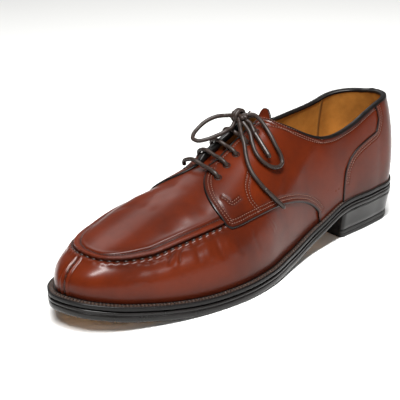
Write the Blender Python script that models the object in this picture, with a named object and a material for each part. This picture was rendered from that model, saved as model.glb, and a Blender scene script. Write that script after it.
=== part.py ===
"""Split toe derby, left shoe.

Frame: +X towards the toe, +Y towards the outer side of the foot, +Z up. The origin is on the
floor under the middle of the heel. All lengths are in metres.

A point of the last's surface is a spot (side, station, rise). Side is OUTER or INNER. Station runs
from 0 at the back seam through 1 and 2 at the ends of the crown line to 3 at the tip of the toe.
Rise runs from 0 at the feather, where upper and welt meet, to 1 at the crown line over the foot.
"""

import math
from collections import namedtuple

import bmesh
import bpy
import numpy as np
from mathutils import Vector
from mathutils.geometry import delaunay_2d_cdt

# Length, widths and heights of the shoe
LENGTH = 0.3008
BALL_WIDTH = 0.104
HEEL_WIDTH = 0.0645
TOE_SHIFT = 0.0038
HEEL_CENTRE = 0.034
HEEL_HEIGHT = 0.0208
TOE_SPRING = 0.0118
INSTEP_HEIGHT = 0.0850
TOE_HEIGHT = 0.0380
BACK_HEIGHT = 0.0615

# Thickness of the leathers and of the bottom
WALL = 0.0024
QUARTER_STEP = 0.0013
COUNTER_STEP = 0.0007
FACING_LIFT = 0.0030
RIDGE_HEIGHT = 0.0014
RIDGE_WIDTH = 0.0034
TOE_SEAM_HEIGHT = 0.0007
TOE_SEAM_WIDTH = 0.0030
SOLE_THICKNESS = 0.0068
WELT_THICKNESS = 0.0035
WELT_WIDTH = 0.0050
WELT_ROUND = 0.0007
MARGIN_WIDTH = 0.0100
INSOLE_THICKNESS = 0.0030
TONGUE_THICKNESS = 0.0024
TONGUE_RISE = 0.0030
TONGUE_GAP = 0.0010
GROOVE_DEPTH = 0.0003

# Heel
TOP_LIFT_THICKNESS = 0.0062
HEEL_BREAST = 0.0745
HEEL_TAPER = 0.0034
HEEL_WAIST = 0.0008
BREAST_CURVE = 0.0025
LIFT_ROUND = 0.0006

# Lace
LACE_DIAMETER = 0.0028
AGLET_DIAMETER = 0.0032
AGLET_LENGTH = 0.0200
EYELET_DIAMETER = 0.0036
KNOT_LENGTH = 0.0125
KNOT_WIDTH = 0.0105
KNOT_HEIGHT = 0.0080

# Clearances: between pieces that touch, and under a curved face of flat facets
GAP = 0.0003
CURVED_GAP = 0.0005

OUTER = 1
INNER = -1

Outline = namedtuple("Outline", "along width inner outer")
OUTLINE = (
    Outline(0.265, HEEL_WIDTH, 0.503, 0.530),
    Outline(0.364, HEEL_WIDTH, 0.426, 0.567),
    Outline(0.464, BALL_WIDTH, 0.264, 0.425),
    Outline(0.546, BALL_WIDTH, 0.317, 0.498),
    Outline(0.629, BALL_WIDTH, 0.414, 0.531),
    Outline(0.712, BALL_WIDTH, 0.487, 0.513),
    Outline(0.795, BALL_WIDTH, 0.481, 0.460),
    Outline(0.868, BALL_WIDTH, 0.418, 0.384),
    Outline(0.934, BALL_WIDTH, 0.306, 0.288),
    Outline(0.980, BALL_WIDTH, 0.172, 0.160),
)
HEEL_ARC_DEGREES = (35.0, 65.0)
HEEL_FULLNESS = 0.92

Profile = namedtuple("Profile", "along heel spring sole")
PROFILE = (
    Profile(0.000, 1.000, 0.00, 0.78),
    Profile(0.130, 0.995, 0.00, 0.78),
    Profile(0.248, 0.930, 0.00, 0.80),
    Profile(0.331, 0.510, 0.00, 0.86),
    Profile(0.414, 0.200, 0.00, 0.90),
    Profile(0.497, 0.052, 0.00, 0.95),
    Profile(0.580, 0.006, 0.00, 1.00),
    Profile(0.640, 0.000, 0.00, 1.00),
    Profile(0.730, 0.000, 0.00, 1.00),
    Profile(0.795, 0.000, 0.12, 1.00),
    Profile(0.894, 0.000, 0.47, 1.00),
    Profile(1.000, 0.000, 1.00, 1.00),
)

Crown = namedtuple("Crown", "along instep toe shift")
CROWN = (
    Crown(0.126, 1.214, 0.00, 0.00),
    Crown(0.232, 1.165, 0.00, 0.00),
    Crown(0.331, 1.085, 0.00, -0.06),
    Crown(0.414, 1.000, 0.00, -0.11),
    Crown(0.497, 0.890, 0.00, -0.11),
    Crown(0.580, 0.768, 0.00, -0.11),
    Crown(0.662, 0.502, 0.36, -0.05),
    Crown(0.745, 0.250, 0.72, 0.15),
    Crown(0.828, 0.000, 1.00, 0.40),
)

Rib = namedtuple("Rib", "round lean rise spread welt")
RIBS = (
    Rib(0.00, 0.066, 0.570, 0.490, 0.70),
    Rib(0.22, 0.066, 0.570, 0.490, 0.66),
    Rib(0.50, 0.039, 0.605, 0.550, 0.90),
    Rib(0.78, 0.038, 0.700, 0.630, 1.08),
    Rib(1.00, 0.031, 0.680, 0.600, 1.00),
)

Topline = namedtuple("Topline", "along outer inner")
TOPLINE = (
    Topline(0.000, 1.003, 1.003),
    Topline(0.083, 1.020, 0.935),
    Topline(0.140, 0.964, 0.860),
    Topline(0.218, 0.846, 0.824),
    Topline(0.285, 0.797, 0.828),
    Topline(0.315, 0.813, 0.862),
    Topline(0.366, 0.925, 0.965),
    Topline(0.402, 1.030, 1.035),
    Topline(0.432, 1.062, 1.062),
)

# Edge of each facing beside the tongue, from its top corner to the throat
Edge = namedtuple("Edge", "station rise")
FACING = (
    Edge(1.441, 0.932),
    Edge(1.465, 0.945),
    Edge(1.540, 0.948),
    Edge(1.610, 0.938),
    Edge(1.648, 0.935),
    Edge(1.662, 0.957),
)
THROAT_STATION = 1.667
EYELETS = (
    Edge(1.677, 0.794),
    Edge(1.626, 0.823),
    Edge(1.577, 0.836),
    Edge(1.523, 0.838),
    Edge(1.476, 0.851),
)

# Seams of one side: the quarter's front and lower edge, the counter, the apron
QUARTER_SEAM = (
    Edge(1.676, 0.915),
    Edge(1.705, 0.872),
    Edge(1.730, 0.805),
    Edge(1.748, 0.720),
    Edge(1.757, 0.620),
    Edge(1.756, 0.500),
    Edge(1.752, 0.430),
    Edge(1.740, 0.400),
    Edge(1.720, 0.389),
    Edge(1.665, 0.373),
    Edge(1.570, 0.334),
    Edge(1.461, 0.261),
    Edge(1.406, 0.212),
    Edge(1.350, 0.148),
    Edge(1.316, 0.097),
    Edge(1.290, 0.040),
)
COUNTER_SEAM = (
    Edge(0.945, 0.365),
    Edge(0.914, 0.310),
    Edge(0.965, 0.268),
    Edge(1.047, 0.235),
    Edge(1.101, 0.211),
    Edge(1.142, 0.180),
    Edge(1.163, 0.143),
    Edge(1.171, 0.081),
    Edge(1.169, 0.030),
)
APRON_SEAM = (
    Edge(1.772, 0.455),
    Edge(1.810, 0.464),
    Edge(1.878, 0.474),
    Edge(1.942, 0.485),
    Edge(2.060, 0.492),
    Edge(2.232, 0.494),
    Edge(2.442, 0.516),
    Edge(2.695, 0.563),
    Edge(2.860, 0.592),
    Edge(3.000, 0.605),
)
TOE_SEAM = (
    Edge(2.888, 0.540),
    Edge(2.900, 0.420),
    Edge(2.910, 0.300),
    Edge(2.918, 0.180),
    Edge(2.914, 0.050),
)

# Tongue: half its width over the foot, as the rise of its edge, from its front to its top
TONGUE = (
    Edge(1.715, 0.880),
    Edge(1.690, 0.850),
    Edge(1.620, 0.820),
    Edge(1.540, 0.805),
    Edge(1.460, 0.800),
    Edge(1.425, 0.810),
    Edge(1.400, 0.845),
    Edge(1.388, 0.890),
)

TONGUE_FREE_STATION = 1.412

# Routes of the lace over the surface; height is above the facing, in lace diameters
Route = namedtuple("Route", "side station rise height")
LEFT_LOOP = (
    Route(INNER, 1.503, 0.930, 4.60),
    Route(INNER, 1.530, 0.905, 5.90),
    Route(INNER, 1.560, 0.880, 6.40),
    Route(INNER, 1.592, 0.862, 6.20),
    Route(INNER, 1.618, 0.868, 5.80),
    Route(INNER, 1.632, 0.890, 5.30),
    Route(INNER, 1.630, 0.925, 4.60),
    Route(INNER, 1.612, 0.955, 4.00),
    Route(INNER, 1.585, 0.985, 3.50),
    Route(OUTER, 1.550, 0.990, 3.10),
    Route(OUTER, 1.522, 0.985, 2.90),
)
RIGHT_LOOP = (
    Route(OUTER, 1.452, 0.925, 2.60),
    Route(OUTER, 1.448, 0.860, 1.60),
    Route(OUTER, 1.450, 0.780, 1.00),
    Route(OUTER, 1.454, 0.700, 0.90),
    Route(OUTER, 1.457, 0.625, 0.80),
    Route(OUTER, 1.457, 0.551, 0.80),
    Route(OUTER, 1.463, 0.511, 0.80),
    Route(OUTER, 1.480, 0.506, 0.80),
    Route(OUTER, 1.500, 0.528, 0.80),
    Route(OUTER, 1.519, 0.572, 0.80),
    Route(OUTER, 1.531, 0.636, 0.80),
    Route(OUTER, 1.531, 0.715, 0.90),
    Route(OUTER, 1.521, 0.780, 1.30),
    Route(OUTER, 1.505, 0.850, 2.00),
)
LONG_END = (
    Route(OUTER, 1.530, 0.880, 2.90),
    Route(OUTER, 1.552, 0.800, 2.40),
    Route(OUTER, 1.570, 0.740, 1.60),
    Route(OUTER, 1.582, 0.670, 1.00),
    Route(OUTER, 1.586, 0.600, 0.80),
    Route(OUTER, 1.582, 0.535, 0.80),
    Route(OUTER, 1.575, 0.479, 0.80),
)
LONG_AGLET = (
    Route(OUTER, 1.574, 0.474, 0.90),
    Route(OUTER, 1.529, 0.319, 0.90),
)
SHORT_END = (
    Route(OUTER, 1.480, 0.900, 2.20),
    Route(OUTER, 1.484, 0.870, 1.70),
    Route(OUTER, 1.490, 0.830, 1.30),
)
SHORT_AGLET = (
    Route(OUTER, 1.491, 0.822, 1.25),
    Route(OUTER, 1.500, 0.680, 1.10),
)
KNOT_STATION = 1.487
FACING_EDGE_RISE = 0.940
BAR_HEIGHT = 0.80
CORD_TILT = 0.0005

Paint = namedtuple("Paint", "colour roughness metallic")
UPPER_LEATHER = Paint((0.195, 0.040, 0.018), 0.38, 0.0)
LINING_LEATHER = Paint((0.360, 0.170, 0.050), 0.65, 0.0)
DARK_LEATHER = Paint((0.016, 0.013, 0.012), 0.42, 0.0)
HEEL_LEATHER = Paint((0.020, 0.017, 0.016), 0.40, 0.0)
TREAD_RUBBER = Paint((0.012, 0.012, 0.013), 0.75, 0.0)
WAXED_COTTON = Paint((0.060, 0.045, 0.038), 0.55, 0.0)

# How finely the faces are cut
PANEL_CELL = 0.0070
LINING_CELL = 0.0090
EDGE_CELL = 0.0060
STEP_RUN = 0.0006
SEAM_STOP = 0.020
EYELET_SIDES = 8
HEEL_ARC_STEPS = 11
TOE_ARC_STEPS = 9
SIDE_CELL = 0.0095
POLE_RISE = 0.985
CROSS_STRETCH = 1.6
TONGUE_STEPS = 4
BREAST_STEPS = 6
CORD_CELL = 2.4
CELL_CLEARANCE = 0.55
SURVEY_STEPS = 25
SURVEY_STATIONS = 301
FACING_RUN_IN = 0.012

def curve_through(places, values, ends=(None, None)):
    """A smooth curve through a row of values, as a function; ends fixes its first and last slope."""
    places = np.asarray(places, float)
    values = np.asarray(values, float)
    steps = np.diff(places)
    slopes = np.diff(values) / steps
    tangents = np.empty_like(values)
    tangents[1:-1] = (slopes[:-1] * steps[1:] + slopes[1:] * steps[:-1]) / (steps[:-1] + steps[1:])
    tangents[0] = slopes[0] if ends[0] is None else ends[0]
    tangents[-1] = slopes[-1] if ends[1] is None else ends[1]

    def value(place):
        place = np.clip(np.asarray(place, float), places[0], places[-1])
        row = np.clip(np.searchsorted(places, place) - 1, 0, len(places) - 2)
        t = (place - places[row]) / steps[row]
        return (
            (2 * t**3 - 3 * t**2 + 1) * values[row]
            + (t**3 - 2 * t**2 + t) * steps[row] * tangents[row]
            + (3 * t**2 - 2 * t**3) * values[row + 1]
            + (t**3 - t**2) * steps[row] * tangents[row + 1]
        )

    return value


def column(table, name, ends=(None, None)):
    """One column of a table as a smooth function of the table's first column."""
    return curve_through([row[0] for row in table], [getattr(row, name) for row in table], ends)


def side_outline(side):
    """One side of the sole's outline: x and y against the share of the way from heel to toe."""
    half = HEEL_WIDTH / 2
    points = [(0.0, 0.0)]
    for degrees in HEEL_ARC_DEGREES:
        angle = math.radians(degrees)
        points.append((half * (1 - math.cos(angle)), side * half * math.sin(angle) ** HEEL_FULLNESS))
    points.append((half * 1.1, side * half))
    for row in OUTLINE:
        share = row.outer if side == OUTER else row.inner
        points.append((row.along * LENGTH, side * share * row.width))
    points.append((LENGTH, -TOE_SHIFT))
    points = np.array(points)
    runs = np.r_[0, np.cumsum(np.hypot(*np.diff(points, axis=0).T))]
    total = runs[-1]
    runs /= total
    x = curve_through(runs, points[:, 0], (0.0, 0.0))
    y = curve_through(runs, points[:, 1], (side * total, -side * total))
    return x, y


OUTLINES = {side: side_outline(side) for side in (OUTER, INNER)}
ROUND_SHARES = np.linspace(0, 1, 1201)
OUTLINE_X = {side: OUTLINES[side][0](ROUND_SHARES) for side in OUTLINES}

heel_share = column(PROFILE, "heel")
spring_share = column(PROFILE, "spring")
sole_share = column(PROFILE, "sole")
crown_instep = column(CROWN, "instep")
crown_toe = column(CROWN, "toe")
crown_shift = column(CROWN, "shift")
rib_lean = column(RIBS, "lean")
rib_rise = column(RIBS, "rise")
rib_spread = column(RIBS, "spread")
rib_welt = column(RIBS, "welt")


def sole_bottom(x):
    """Height of the outsole's underside; x is measured from the back of the heel."""
    along = x / LENGTH
    return heel_share(along) * HEEL_HEIGHT + spring_share(along) * TOE_SPRING


def sole_top(x):
    """Height of the outsole's upper side."""
    return sole_bottom(x) + sole_share(x / LENGTH) * SOLE_THICKNESS


def welt_top(x):
    """Height of the welt's upper side, at which the upper shows."""
    return sole_top(x) + GAP + WELT_THICKNESS


def crown_height(x):
    """Height of the crown line over the foot."""
    along = x / LENGTH
    return welt_top(x) + crown_instep(along) * INSTEP_HEIGHT + crown_toe(along) * TOE_HEIGHT


CROWN_BACK = CROWN[0].along * LENGTH
CROWN_FRONT = CROWN[-1].along * LENGTH


def crown_x(station):
    """Where a station's rib meets the crown line."""
    return CROWN_BACK + (CROWN_FRONT - CROWN_BACK) * np.clip(np.asarray(station, float) - 1, 0, 1)


def round_share(side, station):
    """Share of the way round the outline at which a station's rib stands."""
    station = np.asarray(station, float)
    back = np.interp(CROWN_BACK, OUTLINE_X[side], ROUND_SHARES)
    front = np.interp(CROWN_FRONT, OUTLINE_X[side], ROUND_SHARES)
    middle = np.interp(crown_x(station), OUTLINE_X[side], ROUND_SHARES)
    heel = back * np.clip(station, 0, 1)
    toe = front + (1 - front) * np.clip(station - 2, 0, 1)
    return np.where(station < 1, heel, np.where(station > 2, toe, middle))


def station_at(side, x):
    """The station whose rib stands at that distance from the back of the heel."""
    stations = np.linspace(0, 3, 1201)
    reached = OUTLINES[side][0](round_share(side, stations))
    return float(np.interp(x, reached, stations))


def outline_point(side, station, inset=0.0):
    """A point of the sole's outline moved in by inset, as x and y, and the direction outwards."""
    share = round_share(side, station)
    along, across = OUTLINES[side]
    before = np.clip(share - 0.001, 0, 1)
    after = np.clip(share + 0.001, 0, 1)
    run = np.stack([along(after) - along(before), across(after) - across(before)], -1)
    run /= np.linalg.norm(run, axis=-1)[..., None]
    out = np.stack([-run[..., 1], run[..., 0]], -1) * side
    place = np.stack([along(share), across(share)], -1)
    return place - out * np.asarray(inset)[..., None], out


def welt_width(side, station):
    """Width of the welt that shows beside the upper."""
    return WELT_WIDTH * rib_welt(round_share(side, station))


def rib_controls(side, station):
    """The four control points of a station's rib, from the feather to the crown line."""
    station = np.asarray(station, float)
    edge, _ = outline_point(side, station)
    feather, out = outline_point(side, station, welt_width(side, station))
    share = round_share(side, station)
    foot = np.concatenate([feather, welt_top(edge[..., 0])[..., None]], -1)
    x = crown_x(station)
    top = np.stack([x, -crown_shift(x / LENGTH) * TOE_SHIFT, crown_height(x)], -1)
    height = top[..., 2] - foot[..., 2]
    lower = foot.copy()
    lower[..., :2] += (rib_lean(share) * BALL_WIDTH)[..., None] * out
    lower[..., 2] += rib_rise(share) * height
    reach = foot[..., :2] - top[..., :2]
    slope = (crown_height(x + 0.0005) - crown_height(x - 0.0005)) / 0.001
    slope = np.where(x > CROWN_FRONT - 0.0006, (crown_height(x) - crown_height(x - 0.001)) / 0.001, slope)
    slope = np.where(x < CROWN_BACK + 0.0006, (crown_height(x + 0.001) - crown_height(x)) / 0.001, slope)
    upper = top.copy()
    upper[..., :2] += rib_spread(share)[..., None] * reach
    upper[..., 2] += slope * rib_spread(share) * reach[..., 0]
    return foot, lower, upper, top


def last_point(side, station, rise):
    """Points of the last's surface, with x measured from the back of the heel."""
    foot, lower, upper, top = rib_controls(side, station)
    h = np.asarray(rise, float)[..., None]
    return (1 - h) ** 3 * foot + 3 * (1 - h) ** 2 * h * lower + 3 * (1 - h) * h**2 * upper + h**3 * top


def last_slopes(side, station, rise):
    """How the surface's point moves with station and with rise."""
    station = np.asarray(station, float)
    rise = np.asarray(rise, float)
    low, high = np.clip(station - 0.004, 0, 3), np.clip(station + 0.004, 0, 3)
    under, over = np.clip(rise - 0.004, 0, 1), np.clip(rise + 0.004, 0, 1)
    by_station = (last_point(side, high, rise) - last_point(side, low, rise)) / (high - low)[..., None]
    by_rise = (last_point(side, station, over) - last_point(side, station, under)) / (over - under)[..., None]
    return by_station, by_rise


def last_normal(side, station, rise):
    """The direction out of the surface."""
    by_station, by_rise = last_slopes(side, station, np.minimum(rise, POLE_RISE))
    normal = np.cross(by_station, by_rise) * -side
    return normal / np.linalg.norm(normal, axis=-1)[..., None]


def smooth_step(start, end, value):
    """A share that goes smoothly from 0 at start to 1 at end."""
    share = np.clip((np.asarray(value, float) - start) / (end - start), 0, 1)
    return share * share * (3 - 2 * share)


def facing_rise(side, station, rise):
    """How far the inner side's facing stands up where the lace is slack."""
    along = smooth_step(1.69, 1.62, station) * smooth_step(1.33, 1.41, station)
    across = smooth_step(0.55, 0.90, rise) * smooth_step(1.0, 0.955, rise)
    return np.where(np.asarray(side) == INNER, FACING_LIFT * along * across, 0.0)


class Spots:
    """Places on the surface: their side, station and rise, and how far they stand off the last."""

    def __init__(self, side, station, rise, lift=0.0):
        self.station = np.atleast_1d(np.asarray(station, float))
        self.side = np.broadcast_to(np.asarray(side, float), self.station.shape).copy()
        self.rise = np.broadcast_to(np.asarray(rise, float), self.station.shape).copy()
        self.lift = np.broadcast_to(np.asarray(lift, float), self.station.shape).copy()

    def __len__(self):
        return len(self.station)

    def __getitem__(self, which):
        return Spots(self.side[which], self.station[which], self.rise[which], self.lift[which])

    def lifted(self, lift):
        """The same places with another lift."""
        return Spots(self.side, self.station, self.rise, lift)

    def each_side(self, function):
        """A surface function of side, worked out for the places of each side."""
        found = None
        for side in (OUTER, INNER):
            which = self.side == side
            if not which.any():
                continue
            values = function(side, self.station[which], self.rise[which])
            if found is None:
                found = np.zeros((len(self),) + values.shape[1:])
            found[which] = values
        return found

    def base(self):
        """The places on the last itself."""
        return self.each_side(last_point)

    def normals(self):
        """The directions out of the surface."""
        return self.each_side(last_normal)

    def points(self):
        """The places in space, with x measured from the back of the heel."""
        stand = self.lift + self.each_side(facing_rise)
        return self.base() + self.normals() * stand[:, None]

    def flat(self):
        """The places laid out flat, each rib a straight line from the feather to the crown line."""
        def spread(side, station, rise):
            foot, _, _, top = rib_controls(side, station)
            place = foot[..., :2] + (top - foot)[..., :2] * np.asarray(rise)[..., None]
            return place * (1, CROSS_STRETCH)

        return self.each_side(spread)


def joined(*groups):
    """Several groups of places as one."""
    return Spots(*(np.concatenate([getattr(g, name) for g in groups]) for name in "side station rise lift".split()))


def along_rows(side, rows, cell):
    """Places along a seam's rows, evenly spaced in space and ending at its first and last row."""
    rough = Spots(side, [row.station for row in rows], [row.rise for row in rows])
    runs = np.r_[0, np.cumsum(np.linalg.norm(np.diff(rough.base(), axis=0), axis=1))]
    count = max(2, int(round(runs[-1] / cell)) + 1)
    places = np.linspace(0, runs[-1], count)
    station = curve_through(runs, rough.station)(places)
    rise = curve_through(runs, rough.rise)(places)
    return Spots(side, station, rise)


def shifted(line, distance):
    """A line of places moved sideways over the surface; a positive distance goes to its left."""
    points = line.base()
    run = np.gradient(points, axis=0)
    sideways = np.cross(line.normals(), run)
    sideways *= distance / np.linalg.norm(sideways, axis=1)[:, None]
    return moved(line, sideways)


def moved(line, step):
    """Places moved over the surface by a small step in space."""
    by_station = line.each_side(lambda *place: last_slopes(*place)[0])
    by_rise = line.each_side(lambda *place: last_slopes(*place)[1])
    aa, bb = (by_station**2).sum(1), (by_rise**2).sum(1)
    ab = (by_station * by_rise).sum(1)
    a, b = (by_station * step).sum(1), (by_rise * step).sum(1)
    scale = aa * bb - ab * ab
    station = np.clip(line.station + (a * bb - b * ab) / scale, 0, 3)
    rise = np.clip(line.rise + (b * aa - a * ab) / scale, 0, 1)
    return Spots(line.side, station, rise, line.lift)


def within(points, polygon):
    """Which flat points lie inside a closed polygon."""
    x, y = points[:, 0:1], points[:, 1:2]
    x1, y1 = polygon[:, 0][None], polygon[:, 1][None]
    x2, y2 = np.roll(x1, -1, 1), np.roll(y1, -1, 1)
    crosses = (y1 > y) != (y2 > y)
    reach = x1 + (y - y1) * (x2 - x1) / np.where(y2 == y1, 1e-12, y2 - y1)
    return (crosses & (x < reach)).sum(1) % 2 == 1


def loop_stations(side):
    """Stations at which every loop round the shoe has a point, from the back seam to the toe."""
    half = HEEL_WIDTH / 2
    heel = [half * (1 - math.cos(math.pi / 2 * k / HEEL_ARC_STEPS)) for k in range(HEEL_ARC_STEPS)]
    toe_run = LENGTH * (1 - OUTLINE[-3].along)
    toe = [LENGTH - toe_run * (1 - math.sin(math.pi / 2 * k / TOE_ARC_STEPS)) for k in range(TOE_ARC_STEPS)]
    steps = max(4, round((LENGTH - toe_run - half) / SIDE_CELL))
    middle = list(np.linspace(half, LENGTH - toe_run, steps, endpoint=False))
    return [station_at(side, x) for x in heel + middle + toe] + [3.0]


def round_loop():
    """Side and station of every point of a loop, up the outer side and back down the inner."""
    outer = [(OUTER, t) for t in loop_stations(OUTER)]
    inner = [(INNER, t) for t in loop_stations(INNER)]
    return outer + inner[-2:0:-1]


LOOP = round_loop()


def topline_rise(side, station):
    """Rise at which a station's rib meets the topline."""
    share = column(TOPLINE, "outer" if side == OUTER else "inner")
    low, high = 0.1, 1.0
    for _ in range(30):
        middle = (low + high) / 2
        x, _, z = last_point(side, np.array([station]), np.array([middle]))[0]
        if z < welt_top(0.0) + share(x / LENGTH) * BACK_HEIGHT:
            low = middle
        else:
            high = middle
    return (low + high) / 2


def opening_side(side):
    """One side of the opening: the topline from the back seam, then the facing down to the throat."""
    stations = np.r_[np.linspace(0, 1, 9)[:-1], np.linspace(1, FACING[0].station - FACING_RUN_IN, 15)]
    rises = [topline_rise(side, t) for t in stations]
    topline = Spots(side, stations, rises)
    return joined(topline, along_rows(side, FACING, EDGE_CELL))


def opening_loop():
    """The whole edge of the opening, round the collar and the throat."""
    outer, inner = opening_side(OUTER), opening_side(INNER)
    throat = Spots(OUTER, THROAT_STATION, 1.0)
    return joined(outer, throat, inner[::-1][:-1])


def eyelet_loop(side, eyelet):
    """The edge of one eyelet."""
    centre = Spots([side] * EYELET_SIDES, [eyelet.station] * EYELET_SIDES, eyelet.rise)
    by_station, _ = last_slopes(side, centre.station, centre.rise)
    across = by_station / np.linalg.norm(by_station, axis=1)[:, None]
    up = np.cross(centre.normals(), across)
    angles = np.arange(EYELET_SIDES) * 2 * math.pi / EYELET_SIDES
    step = (np.cos(angles)[:, None] * across + np.sin(angles)[:, None] * up) * EYELET_DIAMETER / 2
    return moved(centre, step)


def counter_seam(side):
    """The counter's front edge, from below the topline to above the feather."""
    start = COUNTER_SEAM[0]
    share = (topline_rise(side, start.station) - SEAM_STOP) / start.rise
    rows = [Edge(row.station, row.rise * share) for row in COUNTER_SEAM]
    return along_rows(side, rows, EDGE_CELL)


def quarter_seam(side):
    """The quarter's front and lower edge, from the throat to above the feather."""
    return along_rows(side, QUARTER_SEAM, EDGE_CELL)


def piece_outline(side, seam):
    """Flat outline of all that lies behind a seam, past the feather and the crown line."""
    heel = np.linspace(seam.station[-1], 0, 30)
    crown = np.linspace(0, seam.station[0], 30)
    border = joined(seam, Spots(side, heel, -0.05), Spots(side, crown, 1.05))
    return border.flat()


class Sheet:
    """A stretch of the surface cut into triangles between its edges, holes and seams."""

    def __init__(self, outline, cell):
        self.cell = cell
        self.spots = outline
        self.loops = [range(len(outline))]
        self.edges = []
        self.ring_edges(self.loops[0])

    def ring_edges(self, ring):
        """Keep the edges of a closed ring."""
        self.edges += list(zip(ring, list(ring[1:]) + [ring[0]]))

    def add_hole(self, spots):
        """Leave the inside of a ring open."""
        first = len(self.spots)
        self.spots = joined(self.spots, spots)
        self.loops.append(range(first, first + len(spots)))
        self.ring_edges(self.loops[-1])

    def add_line(self, spots):
        """Keep a line of edges."""
        first = len(self.spots)
        self.spots = joined(self.spots, spots)
        self.edges += [(first + k, first + k + 1) for k in range(len(spots) - 1)]

    def covers(self, spots):
        """Which places lie inside the outline and outside the holes."""
        flat = self.spots.flat()
        points = spots.flat() if isinstance(spots, Spots) else spots
        inside = within(points, flat[list(self.loops[0])])
        for hole in self.loops[1:]:
            inside &= ~within(points, flat[list(hole)])
        return inside

    def fill(self, lift):
        """Spread places over the sheet in rows, clear of its edges."""
        rows = []
        sample = np.linspace(0, 1, SURVEY_STEPS)
        stations = np.linspace(0, 3, SURVEY_STATIONS)
        ladders = {}
        for side in (OUTER, INNER):
            grid = np.stack([last_point(side, stations, np.full(SURVEY_STATIONS, h)) for h in sample])
            runs = np.concatenate([np.zeros((1, SURVEY_STATIONS)), np.cumsum(np.linalg.norm(np.diff(grid, axis=0), axis=2), 0)])
            ladders[side] = runs
        count = int(ladders[OUTER][-1].max() / self.cell)
        for k in range(1, count + 1):
            parts = []
            for side in (OUTER, INNER):
                runs = ladders[side]
                rises = np.array([np.interp(k / count * runs[-1, j], runs[:, j], sample) for j in range(SURVEY_STATIONS)])
                order = slice(None) if side == OUTER else slice(None, None, -1)
                parts.append(Spots(side, stations[order], rises[order]))
            ring = joined(*parts)
            points = ring.base()
            runs = np.r_[0, np.cumsum(np.linalg.norm(np.diff(points, axis=0), axis=1))]
            steps = max(3, int(runs[-1] / self.cell))
            places = (np.arange(steps) + 0.5 * (k % 2)) / steps * runs[-1]
            rows.append(ring[np.minimum(np.searchsorted(runs, places), len(runs) - 1)])
        spots = joined(*rows)
        spots = spots[self.covers(spots)]
        kept = self.spots.base()
        chosen = []
        for index, point in enumerate(spots.base()):
            reach = np.linalg.norm(kept - point, axis=1)
            free = reach[: len(self.spots)].min() > CELL_CLEARANCE * self.cell
            if free and reach.min() > CELL_CLEARANCE * self.cell:
                chosen.append(index)
                kept = np.vstack([kept, point])
        spots = spots[chosen]
        self.spots = joined(self.spots, spots.lifted(lift(spots)))

    def triangles(self):
        """Corner numbers of the sheet's triangles."""
        flat = self.spots.flat()
        corners = [Vector(point) for point in flat]
        found = delaunay_2d_cdt(corners, self.edges, [], 0, 1e-7)
        points, _, faces, origins = found[:4]
        nearest = [
            origin[0] if origin else int(np.argmin(((flat - np.array(points[k])) ** 2).sum(1)))
            for k, origin in enumerate(origins)
        ]
        faces = np.array([[nearest[c] for c in face] for face in faces])
        whole = (faces[:, 0] != faces[:, 1]) & (faces[:, 1] != faces[:, 2]) & (faces[:, 0] != faces[:, 2])
        faces = faces[whole]
        return faces[self.covers(flat[faces].mean(1))]


def in_frame(points):
    """Points measured from the back of the heel, moved to the part's own origin."""
    return np.asarray(points) - (HEEL_CENTRE, 0.0, 0.0)


def make_material(name, paint):
    """A plain material of one colour."""
    material = bpy.data.materials.new(name)
    material.use_nodes = True
    shader = material.node_tree.nodes["Principled BSDF"]
    shader.inputs["Base Color"].default_value = (*paint.colour, 1.0)
    shader.inputs["Roughness"].default_value = paint.roughness
    shader.inputs["Metallic"].default_value = paint.metallic
    return material


def make_object(name, points, faces, paint, smooth=True):
    """One closed solid from its corners and faces."""
    mesh = bpy.data.meshes.new(name)
    mesh.from_pydata([tuple(point) for point in in_frame(points)], [], [list(map(int, f)) for f in faces])
    solid = bmesh.new()
    solid.from_mesh(mesh)
    bmesh.ops.recalc_face_normals(solid, faces=solid.faces)
    solid.to_mesh(mesh)
    solid.free()
    if smooth:
        mesh.shade_smooth()
        mesh.set_sharp_from_angle(angle=math.radians(40))
    mesh.materials.append(make_material(name + "_paint", paint))
    part = bpy.data.objects.new(name, mesh)
    bpy.context.collection.objects.link(part)
    return part


def band(lower, upper):
    """Faces between two rings of as many corners."""
    count = len(lower)
    return [(lower[k], lower[(k + 1) % count], upper[(k + 1) % count], upper[k]) for k in range(count)]


def ladder(ring):
    """Faces across a ring whose first corner is the back of the heel and whose middle one is the toe."""
    count = len(ring)
    faces = []
    for k in range(count // 2):
        left = (ring[k], ring[k + 1])
        right = (ring[-k % count], ring[-k - 1])
        corners = list(dict.fromkeys([left[0], left[1], right[1], right[0]]))
        if len(corners) > 2:
            faces.append(corners)
    return faces


def inset_ring(inset, height):
    """A ring of points round the sole, moved in from its outline, at a height that follows x."""
    points = []
    for side, station in LOOP:
        amount = inset(side, station) if callable(inset) else inset
        place, _ = outline_point(side, np.array(station), np.array(amount))
        points.append((place[0], place[1], float(height(place[0]))))
    return np.array(points)


def panel_lift(spots):
    """How far the outer leathers stand off the last: quarters over the vamp, counter over quarters."""
    lift = np.zeros(len(spots))
    flat = spots.flat()
    for side in (OUTER, INNER):
        quarter = shifted(quarter_seam(side), -side * STEP_RUN)
        counter = shifted(counter_seam(side), -side * STEP_RUN)
        here = spots.side == side
        lift[here & within(flat, piece_outline(side, quarter))] = QUARTER_STEP
        lift[here & within(flat, piece_outline(side, counter))] = QUARTER_STEP + COUNTER_STEP
    return lift * smooth_step(0.0, 0.05, spots.rise)


def add_step(sheet, side, line, low, high):
    """A seam where the leather behind it lies on the leather before it."""
    top = shifted(line, -side * STEP_RUN)
    sheet.add_line(line.lifted(low * smooth_step(0.0, 0.05, line.rise)))
    sheet.add_line(top.lifted(high * smooth_step(0.0, 0.05, top.rise)))


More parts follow.
